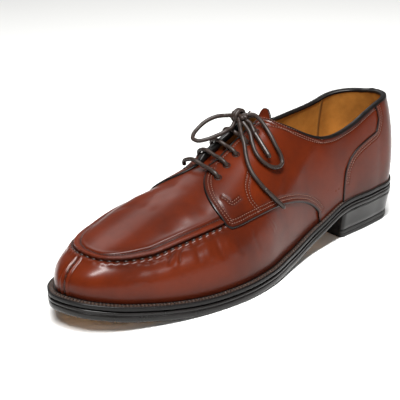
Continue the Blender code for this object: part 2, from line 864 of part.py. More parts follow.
def add_ridge(sheet, line, width, height):
    """A raised seam: its crest and its two feet."""
    sheet.add_line(shifted(line, width / 2).lifted(0.0))
    sheet.add_line(line.lifted(height))
    sheet.add_line(shifted(line, -width / 2).lifted(0.0))


def upper_sheet(cell, outside):
    """The upper's outer or inner face as a sheet."""
    feather = Spots([side for side, _ in LOOP], [t for _, t in LOOP], 0.0)
    sheet = Sheet(feather, cell)
    opening = opening_loop()
    sheet.add_hole(opening.lifted(panel_lift(opening)) if outside else opening)
    for side in (OUTER, INNER):
        for eyelet in EYELETS:
            ring = eyelet_loop(side, eyelet)
            sheet.add_hole(ring.lifted(QUARTER_STEP) if outside else ring)
    if outside:
        for side in (OUTER, INNER):
            add_step(sheet, side, quarter_seam(side), 0.0, QUARTER_STEP)
            add_step(sheet, side, counter_seam(side), QUARTER_STEP, QUARTER_STEP + COUNTER_STEP)
        outer = along_rows(OUTER, APRON_SEAM, EDGE_CELL)
        inner = along_rows(INNER, APRON_SEAM, EDGE_CELL)
        add_ridge(sheet, joined(outer, inner[::-1][1:]), RIDGE_WIDTH, RIDGE_HEIGHT)
        add_ridge(sheet, along_rows(OUTER, TOE_SEAM, EDGE_CELL), TOE_SEAM_WIDTH, TOE_SEAM_HEIGHT)
    sheet.fill(panel_lift if outside else lambda spots: 0.0)
    return sheet


def make_upper():
    """The lasted upper: one hollow wall, open at the collar, the throat and underneath."""
    outer = upper_sheet(PANEL_CELL, True)
    inner = upper_sheet(LINING_CELL, False)
    inner_spots = inner.spots.lifted(-WALL)
    points = np.vstack([outer.spots.points(), inner_spots.points()])
    shift = len(outer.spots)
    faces = [tuple(f) for f in outer.triangles()]
    faces += [tuple(int(c) + shift for c in f)[::-1] for f in inner.triangles()]
    for outside, inside in zip(outer.loops[1:], inner.loops[1:]):
        faces += band(list(outside), [k + shift for k in inside])

    seat = lambda x: sole_top(x) + GAP
    margin = lambda side, station: welt_width(side, station) + MARGIN_WIDTH
    lining = lambda side, station: welt_width(side, station) + WALL
    rings = [
        inset_ring(welt_width, seat),
        inset_ring(margin, seat),
        inset_ring(margin, lambda x: seat(x) + WALL),
        inset_ring(lining, lambda x: seat(x) + WALL),
    ]
    count = len(LOOP)
    previous = list(outer.loops[0])
    for ring in rings:
        first = len(points)
        points = np.vstack([points, ring])
        current = list(range(first, first + count))
        faces += band(previous, current)
        previous = current
    faces += band(previous, [k + shift for k in inner.loops[0]])
    return make_object("upper", points, faces, UPPER_LEATHER)


def make_slab(name, levels, paint):
    """A solid between the first and last of some rings round the sole."""
    count = len(LOOP)
    points = np.vstack(levels)
    rings = [list(range(k * count, (k + 1) * count)) for k in range(len(levels))]
    faces = ladder(rings[0]) + ladder(rings[-1])
    for lower, upper in zip(rings, rings[1:]):
        faces += band(lower, upper)
    return make_object(name, points, faces, paint)


SoleEdge = namedtuple("SoleEdge", "height inset")
SOLE_EDGE = (
    SoleEdge(0.00, 2.0),
    SoleEdge(0.16, 0.0),
    SoleEdge(0.60, 0.0),
    SoleEdge(0.69, 1.4),
    SoleEdge(0.78, 0.0),
    SoleEdge(1.00, 0.0),
)


def make_outsole():
    """The outsole, with its rounded lower edge and the groove along its side."""
    levels = [
        inset_ring(
            row.inset * GROOVE_DEPTH,
            lambda x, share=row.height: sole_bottom(x) + share * (sole_top(x) - sole_bottom(x)),
        )
        for row in SOLE_EDGE
    ]
    return make_slab("outsole", levels, DARK_LEATHER)


def make_insole():
    """The insole board, over the upper's margin."""
    inset = lambda side, station: welt_width(side, station) + WALL + 1.6 * CURVED_GAP
    seat = lambda x: sole_top(x) + GAP + WALL + CURVED_GAP
    levels = [inset_ring(inset, seat), inset_ring(inset, lambda x: seat(x) + INSOLE_THICKNESS)]
    return make_slab("insole", levels, LINING_LEATHER)


def make_welt():
    """The welt all round, between the upper's foot and the outsole."""
    inside = lambda side, station: welt_width(side, station) - GAP
    seat = lambda x: sole_top(x) + GAP
    top = lambda x: seat(x) + WELT_THICKNESS
    shoulder = lambda x: top(x) - WELT_ROUND
    rings = [
        inset_ring(inside, seat),
        inset_ring(WELT_ROUND / 2, seat),
        inset_ring(0.0, lambda x: seat(x) + WELT_ROUND),
        inset_ring(0.0, shoulder),
        inset_ring(WELT_ROUND, top),
        inset_ring(inside, top),
    ]
    count = len(LOOP)
    numbers = [list(range(k * count, (k + 1) * count)) for k in range(len(rings))]
    faces = []
    for lower, upper in zip(numbers, numbers[1:] + numbers[:1]):
        faces += band(lower, upper)
    return make_object("welt", np.vstack(rings), faces, DARK_LEATHER)


def heel_ring(inset, height):
    """A ring round the heel, from one end of the breast round the back to the other."""
    breast = HEEL_BREAST - inset * 0.3
    points = []
    for side in (OUTER, INNER):
        half = []
        for loop_side, station in LOOP:
            if loop_side != side and station > 0:
                continue
            place, _ = outline_point(side, np.array(station), np.array(inset))
            if place[0] < breast - EDGE_CELL / 2:
                half.append(place)
        half.sort(key=lambda place: place[0])
        place, _ = outline_point(side, np.array(station_at(side, breast)), np.array(inset))
        half.append(np.array([breast, place[1]]))
        points.append(half)
    ends = points[0][-1][1], points[1][-1][1]
    shares = np.linspace(0, 1, BREAST_STEPS + 1)[1:-1]
    across = [(breast - BREAST_CURVE * 4 * s * (1 - s), ends[0] + (ends[1] - ends[0]) * s) for s in shares]
    ring = points[0] + [np.array(p) for p in across] + points[1][:0:-1]
    return np.array([(x, y, float(height(x))) for x, y in ring])


def make_heel_slab(name, levels, paint):
    """A solid of the heel from rings that follow its outline."""
    count = len(levels[0])
    points = np.vstack(levels)
    rings = [list(range(k * count, (k + 1) * count)) for k in range(len(levels))]
    faces = []
    for lower, upper in zip(rings, rings[1:]):
        faces += band(lower, upper)
    for ring in (rings[0], rings[-1]):
        corners = [Vector(points[c][:2]) for c in ring]
        edges = [(k, (k + 1) % count) for k in range(count)]
        cut = delaunay_2d_cdt(corners, edges, [], 1, 1e-7)
        names = [origin[0] for origin in cut[3]]
        faces += [tuple(ring[names[c]] for c in face) for face in cut[2]]
    return make_object(name, points, faces, paint)


def heel_inset(height):
    """How far the heel's side lies in from the sole's outline: it tapers and is slightly hollow."""
    share = 1 - height / HEEL_HEIGHT
    return HEEL_TAPER * share + HEEL_WAIST * 4 * share * (1 - share)


def make_heel():
    """The heel stack and the top lift under it."""
    under = lambda x: sole_bottom(x) - GAP
    floor_side = TOP_LIFT_THICKNESS + GAP
    stack = [heel_ring(heel_inset(floor_side), lambda x: floor_side)]
    for share in (0.33, 0.66, 1.0):
        level = floor_side + share * (HEEL_HEIGHT - floor_side)
        height = lambda x, share=share: floor_side + share * (under(x) - floor_side)
        stack.append(heel_ring(heel_inset(level), height))
    make_heel_slab("heel_stack", stack, HEEL_LEATHER)
    lift = [
        heel_ring(heel_inset(0.0) + LIFT_ROUND, lambda x: 0.0),
        heel_ring(heel_inset(LIFT_ROUND), lambda x: LIFT_ROUND),
        heel_ring(heel_inset(TOP_LIFT_THICKNESS), lambda x: TOP_LIFT_THICKNESS),
    ]
    make_heel_slab("top_lift", lift, TREAD_RUBBER)


def tongue_lift(station):
    """The tongue's top stands up where it is clear of the facings."""
    return TONGUE_RISE * smooth_step(TONGUE_FREE_STATION, TONGUE[-1].station, station)


def make_tongue():
    """The tongue, under the facings and up past the topline."""
    line = along_rows(OUTER, TONGUE, EDGE_CELL)
    shares = np.linspace(0, 1, TONGUE_STEPS + 1)
    rows = []
    for station, rise in zip(line.station, line.rise):
        rises = rise + (1 - rise) * shares
        side = Spots(OUTER, np.full(len(rises), station), rises)
        other = Spots(INNER, side.station[:-1], rises[:-1])[::-1]
        rows.append(joined(side, other))
    width = len(rows[0])
    spots = joined(*rows)
    stand = tongue_lift(spots.station) - WALL - TONGUE_GAP
    points = np.vstack([spots.lifted(0).base() + spots.normals() * stand[:, None],
                        spots.base() + spots.normals() * (stand - TONGUE_THICKNESS)[:, None]])
    size = len(spots)
    faces = []
    for r in range(len(rows) - 1):
        for c in range(width - 1):
            a = r * width + c
            faces.append((a, a + 1, a + 1 + width, a + width))
            faces.append((a + size, a + width + size, a + 1 + width + size, a + 1 + size))
    rim = list(range(width)) + [r * width + width - 1 for r in range(1, len(rows))]
    rim += [(len(rows) - 1) * width + c for c in range(width - 2, -1, -1)]
    rim += [r * width for r in range(len(rows) - 2, 0, -1)]
    faces += band(rim, [k + size for k in rim])
    return make_object("tongue", points, faces, UPPER_LEATHER)


def route_points(rows):
    """A smooth run of points over the surface through a route's rows."""
    through = []
    for row in rows:
        spot = Spots(row.side, row.station, row.rise)
        lift = QUARTER_STEP + row.height * LACE_DIAMETER
        through.append(spot.base()[0] + spot.normals()[0] * lift)
    return np.array(through)


def make_cord(name, through, diameter):
    """A round cord along a smooth curve through some points."""
    runs = np.r_[0, np.cumsum(np.linalg.norm(np.diff(through, axis=0), axis=1))]
    count = max(3, round(runs[-1] / (CORD_CELL * diameter)) + 1)
    places = np.linspace(0, runs[-1], count)
    points = in_frame(np.stack([curve_through(runs, through[:, k])(places) for k in range(3)], 1))
    curve = bpy.data.curves.new(name, "CURVE")
    curve.dimensions = "3D"
    curve.bevel_depth = diameter / 2
    curve.bevel_resolution = 2
    curve.use_fill_caps = True
    spline = curve.splines.new("POLY")
    spline.points.add(count - 1)
    for corner, point in zip(spline.points, points):
        corner.co = (*point, 1.0)
    curve.materials.append(make_material(name + "_paint", WAXED_COTTON))
    cord = bpy.data.objects.new(name, curve)
    bpy.context.collection.objects.link(cord)
    return cord


def knot_frame():
    """The knot's centre, and its directions across the shoe, along it and up."""
    spot = Spots(OUTER, KNOT_STATION, 1.0)
    up = spot.normals()[0]
    bar_top = QUARTER_STEP + (BAR_HEIGHT + 0.5) * LACE_DIAMETER + FACING_LIFT
    lift = bar_top + CURVED_GAP + KNOT_HEIGHT / 2
    across = np.array([0.0, 1.0, 0.0])
    along = np.cross(across, up)
    return spot.base()[0] + up * lift, across, along / np.linalg.norm(along), up


def knot_exit(toward):
    """Where a cord that comes from a point leaves the knot."""
    centre, *axes = knot_frame()
    way = toward - centre
    way /= np.linalg.norm(way)
    halves = np.array([KNOT_LENGTH, KNOT_WIDTH, KNOT_HEIGHT]) / 2
    reach = 1 / math.sqrt(sum((way @ axis / half) ** 2 for axis, half in zip(axes, halves)))
    return centre + way * (reach + 2 * GAP)


def make_knot():
    """The bow's knot as one rounded solid."""
    centre, across, along, up = knot_frame()
    solid = bmesh.new()
    bmesh.ops.create_uvsphere(solid, u_segments=12, v_segments=8, radius=0.5)
    points = np.array([vertex.co for vertex in solid.verts])
    faces = [[corner.index for corner in face.verts] for face in solid.faces]
    solid.free()
    points = centre + (
        points[:, 0:1] * KNOT_LENGTH * across
        + points[:, 1:2] * KNOT_WIDTH * along
        + points[:, 2:3] * KNOT_HEIGHT * up
    )
    return make_object("lace_knot", points, faces, WAXED_COTTON)


def make_laces():
    """The bars between the eyelets, and the bow with its two ends."""
    for number, eyelet in enumerate(EYELETS, 1):
        rises = (eyelet.rise, (eyelet.rise + FACING_EDGE_RISE) / 2, FACING_EDGE_RISE)
        outer = [Route(OUTER, eyelet.station, rise, BAR_HEIGHT) for rise in rises]
        lifted = BAR_HEIGHT + FACING_LIFT / LACE_DIAMETER
        inner = [Route(INNER, eyelet.station, rise, lifted) for rise in rises[::-1]]
        make_cord("lace_bar_%d" % number, route_points(outer + inner), LACE_DIAMETER)
    make_knot()
    for name, rows in (("left", LEFT_LOOP), ("right", RIGHT_LOOP)):
        through = route_points(rows)
        ends = knot_exit(through[0]), knot_exit(through[-1])
        make_cord("lace_loop_" + name, np.vstack([ends[0], through, ends[1]]), LACE_DIAMETER)
    for name, rows, tip in (("long", LONG_END, LONG_AGLET), ("short", SHORT_END, SHORT_AGLET)):
        through = route_points(rows)
        make_cord("lace_end_" + name, np.vstack([knot_exit(through[0]), through]), LACE_DIAMETER)
        aim = route_points(tip)
        way = (aim[1] - through[-1]) / np.linalg.norm(aim[1] - through[-1])
        start = through[-1] + way * (GAP + CORD_TILT)
        make_cord("aglet_" + name, np.array([start, start + way * AGLET_LENGTH]), AGLET_DIAMETER)


def main():
    """Build every piece of the shoe."""
    for thing in list(bpy.data.objects):
        bpy.data.objects.remove(thing, do_unlink=True)
    make_upper()
    make_insole()
    make_tongue()
    make_welt()
    make_outsole()
    make_heel()
    make_laces()


main()
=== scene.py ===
"""Split toe derby, left shoe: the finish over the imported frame.

Frame: +X towards the toe, +Y towards the outer side of the foot, +Z up, metres, with the origin on
the floor under the middle of the heel. A place on the last is a side, a station from 0 at the back
seam to 3 at the tip of the toe, and a rise from 0 at the feather to 1 at the crown line.
"""

import logging
import math
from dataclasses import dataclass, field
from enum import Enum
from typing import Callable, Optional, Sequence

import bmesh
import bpy
import numpy as np
from mathutils import Matrix

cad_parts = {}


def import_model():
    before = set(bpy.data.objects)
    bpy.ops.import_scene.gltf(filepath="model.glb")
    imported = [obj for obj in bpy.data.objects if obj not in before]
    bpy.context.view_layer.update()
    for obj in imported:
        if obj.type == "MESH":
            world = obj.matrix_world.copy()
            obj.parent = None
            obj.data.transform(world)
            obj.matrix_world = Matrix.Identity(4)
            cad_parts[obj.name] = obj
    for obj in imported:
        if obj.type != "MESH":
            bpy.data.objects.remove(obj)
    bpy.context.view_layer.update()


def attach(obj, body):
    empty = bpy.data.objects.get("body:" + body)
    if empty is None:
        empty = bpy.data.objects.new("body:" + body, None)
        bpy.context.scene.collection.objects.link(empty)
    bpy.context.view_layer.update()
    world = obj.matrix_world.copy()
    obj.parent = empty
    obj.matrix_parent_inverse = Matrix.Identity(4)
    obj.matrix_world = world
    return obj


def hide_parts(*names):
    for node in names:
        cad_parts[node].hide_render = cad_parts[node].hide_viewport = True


LOG = logging.getLogger("derby")
Array = np.ndarray

OUTER, INNER = 1.0, -1.0
STITCH_STEP = 0.0012  # between the points of a line that is sewn
MARK_STEP = 0.0015  # between the points of a line that a mark follows
FOLD_SHARE = 0.65  # of a fold's height in the table that the leather takes
TOPLINE_END = 1.43  # the station where the topline gives way to the facing


def smooth_step(start: float, end: float, value: Array) -> Array:
    """A share that goes smoothly from 0 at start to 1 at end."""
    share = np.clip((np.asarray(value, float) - start) / (end - start), 0, 1)
    return share * share * (3 - 2 * share)


def bell(value: Array, centre: float, width: float) -> Array:
    """A bell of height 1 at the centre, about as wide as width."""
    return np.exp(-(((value - centre) / width) ** 2))


def unit(rows: Array) -> Array:
    """Directions with their length made 1."""
    rows = np.asarray(rows, float)
    return rows / np.linalg.norm(rows, axis=-1)[..., None]


def runs_along(points: Array) -> Array:
    """How far along a path each of its points lies."""
    return np.r_[0, np.cumsum(np.linalg.norm(np.diff(points, axis=0), axis=1))]


def along_path(points: Array, at: Array) -> Array:
    """Points of a path at distances from its start."""
    runs = runs_along(points)
    return np.stack([np.interp(at, runs, points[:, k]) for k in range(points.shape[1])], -1)


def averaged(rows: Array, reach: int) -> Array:
    """Rows of points with each made the mean of those within reach of it."""
    share = np.ones(2 * reach + 1) / (2 * reach + 1)
    return np.stack([np.convolve(np.pad(column, reach, "edge"), share, "valid") for column in rows.T], 1)


def curve_through(
    places: Sequence[float],
    values: Sequence[float],
    ends: tuple[Optional[float], Optional[float]] = (None, None),
) -> Callable[[Array], Array]:
    """A smooth curve through a row of values.

    Args:
        places: where the values stand, rising.
        values: the values there.
        ends: slopes at the first and last place, where they are known.

    Returns:
        The curve as a function of place.
    """
    places = np.asarray(places, float)
    values = np.asarray(values, float)
    steps = np.diff(places)
    slopes = np.diff(values) / steps
    tangents = np.empty_like(values)
    tangents[1:-1] = (slopes[:-1] * steps[1:] + slopes[1:] * steps[:-1]) / (steps[:-1] + steps[1:])
    tangents[0] = slopes[0] if ends[0] is None else ends[0]
    tangents[-1] = slopes[-1] if ends[1] is None else ends[1]

    def value(place: Array) -> Array:
        """The curve's value at a place."""
        place = np.clip(np.asarray(place, float), places[0], places[-1])
        row = np.clip(np.searchsorted(places, place) - 1, 0, len(places) - 2)
        t = (place - places[row]) / steps[row]
        return (
            (2 * t**3 - 3 * t**2 + 1) * values[row]
            + (t**3 - 2 * t**2 + t) * steps[row] * tangents[row]
            + (3 * t**2 - 2 * t**3) * values[row + 1]
            + (t**3 - t**2) * steps[row] * tangents[row + 1]
        )

    return value


def table_curve(table: Sequence[tuple[float, ...]], column: int) -> Callable[[Array], Array]:
    """One column of a table as a smooth function of its first column."""
    return curve_through([row[0] for row in table], [row[column] for row in table])


@dataclass
class Places:
    """Places on the last, with how far each stands off it.

    The arrays share one shape, and so do the results.
    """

    side: Array
    station: Array
    rise: Array
    lift: Array

    @classmethod
    def at(cls, side: Array, station: Array, rise: Array, lift: Array = 0.0) -> "Places":
        """Places from values of any shapes that fit together."""
        return cls(*(np.array(a, float) for a in np.broadcast_arrays(side, station, rise, lift)))


# Tables of the last, as shares of its sizes; the frame's own solids have the same form
OUTLINE_ROWS = (
    (0.265, 0.0, 0.503, 0.530), (0.364, 0.0, 0.426, 0.567), (0.464, 1.0, 0.264, 0.425),
    (0.546, 1.0, 0.317, 0.498), (0.629, 1.0, 0.414, 0.531), (0.712, 1.0, 0.487, 0.513),
    (0.795, 1.0, 0.481, 0.460), (0.868, 1.0, 0.418, 0.384), (0.934, 1.0, 0.306, 0.288),
    (0.980, 1.0, 0.172, 0.160),
)
PROFILE_ROWS = (
    (0.000, 1.000, 0.00, 0.78), (0.130, 0.995, 0.00, 0.78), (0.248, 0.930, 0.00, 0.80),
    (0.331, 0.510, 0.00, 0.86), (0.414, 0.200, 0.00, 0.90), (0.497, 0.052, 0.00, 0.95),
    (0.580, 0.006, 0.00, 1.00), (0.640, 0.000, 0.00, 1.00), (0.730, 0.000, 0.00, 1.00),
    (0.795, 0.000, 0.12, 1.00), (0.894, 0.000, 0.47, 1.00), (1.000, 0.000, 1.00, 1.00),
)
CROWN_ROWS = (
    (0.126, 1.214, 0.00, 0.00), (0.232, 1.165, 0.00, 0.00), (0.331, 1.085, 0.00, -0.06),
    (0.414, 1.000, 0.00, -0.11), (0.497, 0.890, 0.00, -0.11), (0.580, 0.768, 0.00, -0.11),
    (0.662, 0.502, 0.36, -0.05), (0.745, 0.250, 0.72, 0.15), (0.828, 0.000, 1.00, 0.40),
)
RIB_ROWS = (
    (0.00, 0.066, 0.570, 0.490, 0.70), (0.22, 0.066, 0.570, 0.490, 0.66),
    (0.50, 0.039, 0.605, 0.550, 0.90), (0.78, 0.038, 0.700, 0.630, 1.08),
    (1.00, 0.031, 0.680, 0.600, 1.00),
)
TOPLINE_ROWS = (
    (0.000, 1.003, 1.003), (0.083, 1.020, 0.935), (0.140, 0.964, 0.860), (0.218, 0.846, 0.824),
    (0.285, 0.797, 0.828), (0.315, 0.813, 0.862), (0.366, 0.925, 0.965), (0.402, 1.030, 1.035),
    (0.432, 1.062, 1.062),
)


@dataclass
class Last:
    """The form the shoe is made on: outline, profile, crown line and ribs."""

    length: float = 0.3008
    ball_width: float = 0.104
    heel_width: float = 0.0645
    toe_shift: float = 0.0038
    heel_centre: float = 0.034
    heel_height: float = 0.0208
    toe_spring: float = 0.0118
    instep_height: float = 0.0850
    toe_height: float = 0.0380
    back_height: float = 0.0615
    sole: float = 0.0068
    welt: float = 0.0035
    welt_width: float = 0.0050
    gap: float = 0.0003
    facing_lift: float = 0.0030
    heel_arc: tuple[float, float] = (35.0, 65.0)
    outlines: dict = field(default_factory=dict)
    toplines: dict = field(default_factory=dict)

    def __post_init__(self) -> None:
        """Work the tables out into curves."""
        self.heel_share = table_curve(PROFILE_ROWS, 1)
        self.spring_share = table_curve(PROFILE_ROWS, 2)
        self.sole_share = table_curve(PROFILE_ROWS, 3)
        self.crown_instep = table_curve(CROWN_ROWS, 1)
        self.crown_toe = table_curve(CROWN_ROWS, 2)
        self.crown_shift = table_curve(CROWN_ROWS, 3)
        self.ribs = [table_curve(RIB_ROWS, column) for column in (1, 2, 3, 4)]
        self.crown_back = CROWN_ROWS[0][0] * self.length
        self.crown_front = CROWN_ROWS[-1][0] * self.length
        shares = np.linspace(0, 1, 1201)
        for side in (OUTER, INNER):
            x, y = self.side_outline(side)
            self.outlines[side] = (x, y, shares, x(shares))
        for side in (OUTER, INNER):
            stations = np.linspace(0, 1.45, 117)
            rises = [self.find_topline(side, t) for t in stations]
            self.toplines[side] = curve_through(stations, rises)

    def side_outline(self, side: float) -> tuple[Callable, Callable]:
        """One side of the sole's outline, against the share of the way from heel to toe.

        Args:
            side: OUTER or INNER.

        Returns:
            Its two coordinates as curves.
        """
        half = self.heel_width / 2
        points = [(0.0, 0.0)]
        for degrees in self.heel_arc:
            angle = math.radians(degrees)
            points.append((half * (1 - math.cos(angle)), side * half * math.sin(angle) ** 0.92))
        points.append((half * 1.1, side * half))
        for along, ball, inner, outer in OUTLINE_ROWS:
            width = self.ball_width if ball else self.heel_width
            points.append((along * self.length, side * (outer if side > 0 else inner) * width))
        points.append((self.length, -self.toe_shift))
        rows = np.array(points)
        runs = np.r_[0, np.cumsum(np.hypot(*np.diff(rows, axis=0).T))]
        total = runs[-1]
        x = curve_through(runs / total, rows[:, 0], (0.0, 0.0))
        y = curve_through(runs / total, rows[:, 1], (side * total, -side * total))
        return x, y

    def sole_bottom(self, x: Array) -> Array:
        """Height of the outsole's underside."""
        along = np.asarray(x) / self.length
        return self.heel_share(along) * self.heel_height + self.spring_share(along) * self.toe_spring

    def sole_top(self, x: Array) -> Array:
        """Height of the outsole's upper side."""
        return self.sole_bottom(x) + self.sole_share(np.asarray(x) / self.length) * self.sole

    def welt_top(self, x: Array) -> Array:
        """Height of the welt's upper side."""
        return self.sole_top(x) + self.gap + self.welt

    def crown_height(self, x: Array) -> Array:
        """Height of the crown line over the foot.

        Args:
            x: positions along the shoe.

        Returns:
            Heights of the crown line.
        """
        along = np.asarray(x) / self.length
        instep = self.crown_instep(along) * self.instep_height
        return self.welt_top(x) + instep + self.crown_toe(along) * self.toe_height

    def crown_x(self, station: Array) -> Array:
        """Where a station's rib meets the crown line."""
        run = self.crown_front - self.crown_back
        return self.crown_back + run * np.clip(np.asarray(station, float) - 1, 0, 1)

    def share(self, side: float, station: Array) -> Array:
        """Share of the way round the outline at which a station's rib stands.

        Args:
            side: OUTER or INNER.
            station: stations along the last, 0 to 3.

        Returns:
            Shares of the outline.
        """
        _, _, shares, reach = self.outlines[side]
        back = np.interp(self.crown_back, reach, shares)
        front = np.interp(self.crown_front, reach, shares)
        middle = np.interp(self.crown_x(station), reach, shares)
        toe = front + (1 - front) * np.clip(station - 2, 0, 1)
        return np.where(station < 1, back * np.clip(station, 0, 1), np.where(station > 2, toe, middle))

    def edge(self, side: float, station: Array, inset: Array = 0.0) -> tuple[Array, Array]:
        """A point of the sole's outline moved in by inset, and the direction outwards.

        Args:
            side: OUTER or INNER.
            station: stations along the last, 0 to 3.
            inset: how far inside the outline.

        Returns:
            Points of the edge in plan, and the directions out of it.
        """
        share = self.share(side, np.asarray(station, float))
        along, across = self.outlines[side][:2]
        before, after = np.clip(share - 0.001, 0, 1), np.clip(share + 0.001, 0, 1)
        run = np.stack([along(after) - along(before), across(after) - across(before)], -1)
        run = unit(run)
        out = np.stack([-run[..., 1], run[..., 0]], -1) * side
        place = np.stack([along(share), across(share)], -1)
        return place - out * np.asarray(inset)[..., None], out

    def welt_at(self, side: float, station: Array) -> Array:
        """Width of the welt that shows beside the upper."""
        return self.welt_width * self.ribs[3](self.share(side, np.asarray(station, float)))

    def rib_point(self, side: float, station: Array, rise: Array) -> Array:
        """Points of one side of the last, with x measured from the back of the heel.

        Args:
            side: OUTER or INNER.
            station: stations along the last, 0 to 3.
            rise: rises over the last, 0 to 1.

        Returns:
            Points on the rib.
        """
        edge, _ = self.edge(side, station)
        feather, out = self.edge(side, station, self.welt_at(side, station))
        share = self.share(side, station)
        lean, up, spread = (rib(share) for rib in self.ribs[:3])
        foot = np.concatenate([feather, self.welt_top(edge[..., 0])[..., None]], -1)
        x = self.crown_x(station)
        top = np.stack([x, -self.crown_shift(x / self.length) * self.toe_shift, self.crown_height(x)], -1)
        lower = foot.copy()
        lower[..., :2] += (lean * self.ball_width)[..., None] * out
        lower[..., 2] += up * (top[..., 2] - foot[..., 2])
        reach = foot[..., :2] - top[..., :2]
        ahead = np.minimum(x + 0.0005, self.crown_front)
        behind = np.maximum(ahead - 0.001, self.crown_back)
        ahead = behind + 0.001
        slope = (self.crown_height(ahead) - self.crown_height(behind)) / 0.001
        upper = top.copy()
        upper[..., :2] += spread[..., None] * reach
        upper[..., 2] += slope * spread * reach[..., 0]
        h = np.asarray(rise, float)[..., None]
        return (1 - h) ** 3 * foot + 3 * (1 - h) ** 2 * h * lower + 3 * (1 - h) * h**2 * upper + h**3 * top

    def base(self, places: Places) -> Array:
        """Points of the last, with x measured from the back of the heel.

        Args:
            places: places on the last.

        Returns:
            Points on the last.
        """
        points = np.zeros(places.station.shape + (3,))
        for side in (OUTER, INNER):
            which = places.side == side
            if which.any():
                points[which] = self.rib_point(side, places.station[which], places.rise[which])
        return points

    def slopes(self, places: Places) -> tuple[Array, Array]:
        """How a place's point moves with station and with rise.

        Args:
            places: places on the last.

        Returns:
            How the surface runs by station and by rise.
        """
        low, high = np.clip(places.station - 0.004, 0, 3), np.clip(places.station + 0.004, 0, 3)
        under, over = np.clip(places.rise - 0.004, 0, 1), np.clip(places.rise + 0.004, 0, 1)
        near = self.base(Places.at(places.side, low, places.rise))
        far = self.base(Places.at(places.side, high, places.rise))
        below = self.base(Places.at(places.side, places.station, under))
        above = self.base(Places.at(places.side, places.station, over))
        return (far - near) / (high - low)[..., None], (above - below) / (over - under)[..., None]

    def normals(self, places: Places) -> Array:
        """The directions out of the last.

        Args:
            places: places on the last.

        Returns:
            Directions out of the last.
        """
        flat = Places.at(places.side, places.station, np.minimum(places.rise, 0.985))
        by_station, by_rise = self.slopes(flat)
        return unit(np.cross(by_station, by_rise) * -flat.side[..., None])

    def slack(self, places: Places) -> Array:
        """How far the inner facing stands up where the lace is slack.

        Args:
            places: places on the last.

        Returns:
            Heights over the last.
        """
        along = smooth_step(1.69, 1.62, places.station) * smooth_step(1.33, 1.41, places.station)
        across = smooth_step(0.55, 0.90, places.rise) * smooth_step(1.0, 0.955, places.rise)
        return np.where(places.side < 0, self.facing_lift * along * across, 0.0)

    def points(self, places: Places, slack: bool = True) -> Array:
        """The places as points of the shoe's own frame.

        Args:
            places: places on the last.
            slack: whether the height of the slack leather is added.

        Returns:
            Points of the shoe's own frame.
        """
        stand = places.lift + (self.slack(places) if slack else 0.0)
        found = self.base(places) + self.normals(places) * stand[..., None]
        return found - (self.heel_centre, 0.0, 0.0)

    def find_topline(self, side: float, station: float) -> float:
        """Rise at which a station's rib meets the topline.

        Args:
            side: OUTER or INNER.
            station: stations along the last, 0 to 3.

        Returns:
            The rise of the topline.
        """
        share = table_curve(TOPLINE_ROWS, 1 if side > 0 else 2)
        rises = np.linspace(0.1, 1.0, 361)
        rib = self.base(Places.at(side, station, rises))
        over = rib[:, 2] - (self.welt_top(0.0) + share(rib[:, 0] / self.length) * self.back_height)
        first = int(np.argmax(over > 0)) if (over > 0).any() else len(rises) - 1
        if first == 0 or not (over > 0).any():
            return float(rises[first])
        part = over[first - 1] / (over[first - 1] - over[first])
        return float(rises[first - 1] + part * (rises[first] - rises[first - 1]))

    def topline(self, side: Array, station: Array) -> Array:
        """Rise of the topline, for places of either side."""
        return np.where(np.asarray(side) > 0, self.toplines[OUTER](station), self.toplines[INNER](station))


FACING_ROWS = (
    (1.441, 0.932), (1.465, 0.945), (1.540, 0.948), (1.610, 0.938), (1.648, 0.935), (1.662, 0.957)
)
EYELET_ROWS = ((1.677, 0.794), (1.626, 0.823), (1.577, 0.836), (1.523, 0.838), (1.476, 0.851))
FRONT_ROWS = (
    (1.662, 0.932), (1.676, 0.915), (1.705, 0.872), (1.730, 0.805), (1.748, 0.720), (1.757, 0.620),
    (1.756, 0.500), (1.752, 0.430), (1.740, 0.400),
)
LOWER_ROWS = (
    (1.740, 0.400), (1.720, 0.389), (1.665, 0.373), (1.570, 0.334), (1.461, 0.261), (1.406, 0.212),
    (1.350, 0.148), (1.316, 0.097), (1.293, 0.048), (1.284, 0.000),
)
COUNTER_ROWS = (
    (0.950, 0.380), (0.914, 0.310), (0.965, 0.268), (1.047, 0.235), (1.101, 0.211), (1.142, 0.180),
    (1.163, 0.143), (1.171, 0.081), (1.169, 0.000),
)
APRON_ROWS = (
    (1.200, 0.430), (1.600, 0.440), (1.772, 0.455), (1.810, 0.464), (1.878, 0.474), (1.942, 0.485),
    (2.060, 0.492), (2.232, 0.494), (2.442, 0.516), (2.695, 0.563), (2.860, 0.592), (3.000, 0.605),
)
WALL_TOP_ROWS = (
    (1.220, 0.060), (1.300, 0.170), (1.360, 0.250), (1.430, 0.315), (1.520, 0.385), (1.620, 0.430),
    (1.700, 0.450), (1.772, 0.455),
)
TOE_SEAM_ROWS = (
    (2.940, 0.600), (2.938, 0.553), (2.930, 0.487), (2.925, 0.355), (2.923, 0.260), (2.921, 0.159),
    (2.917, 0.000),
)


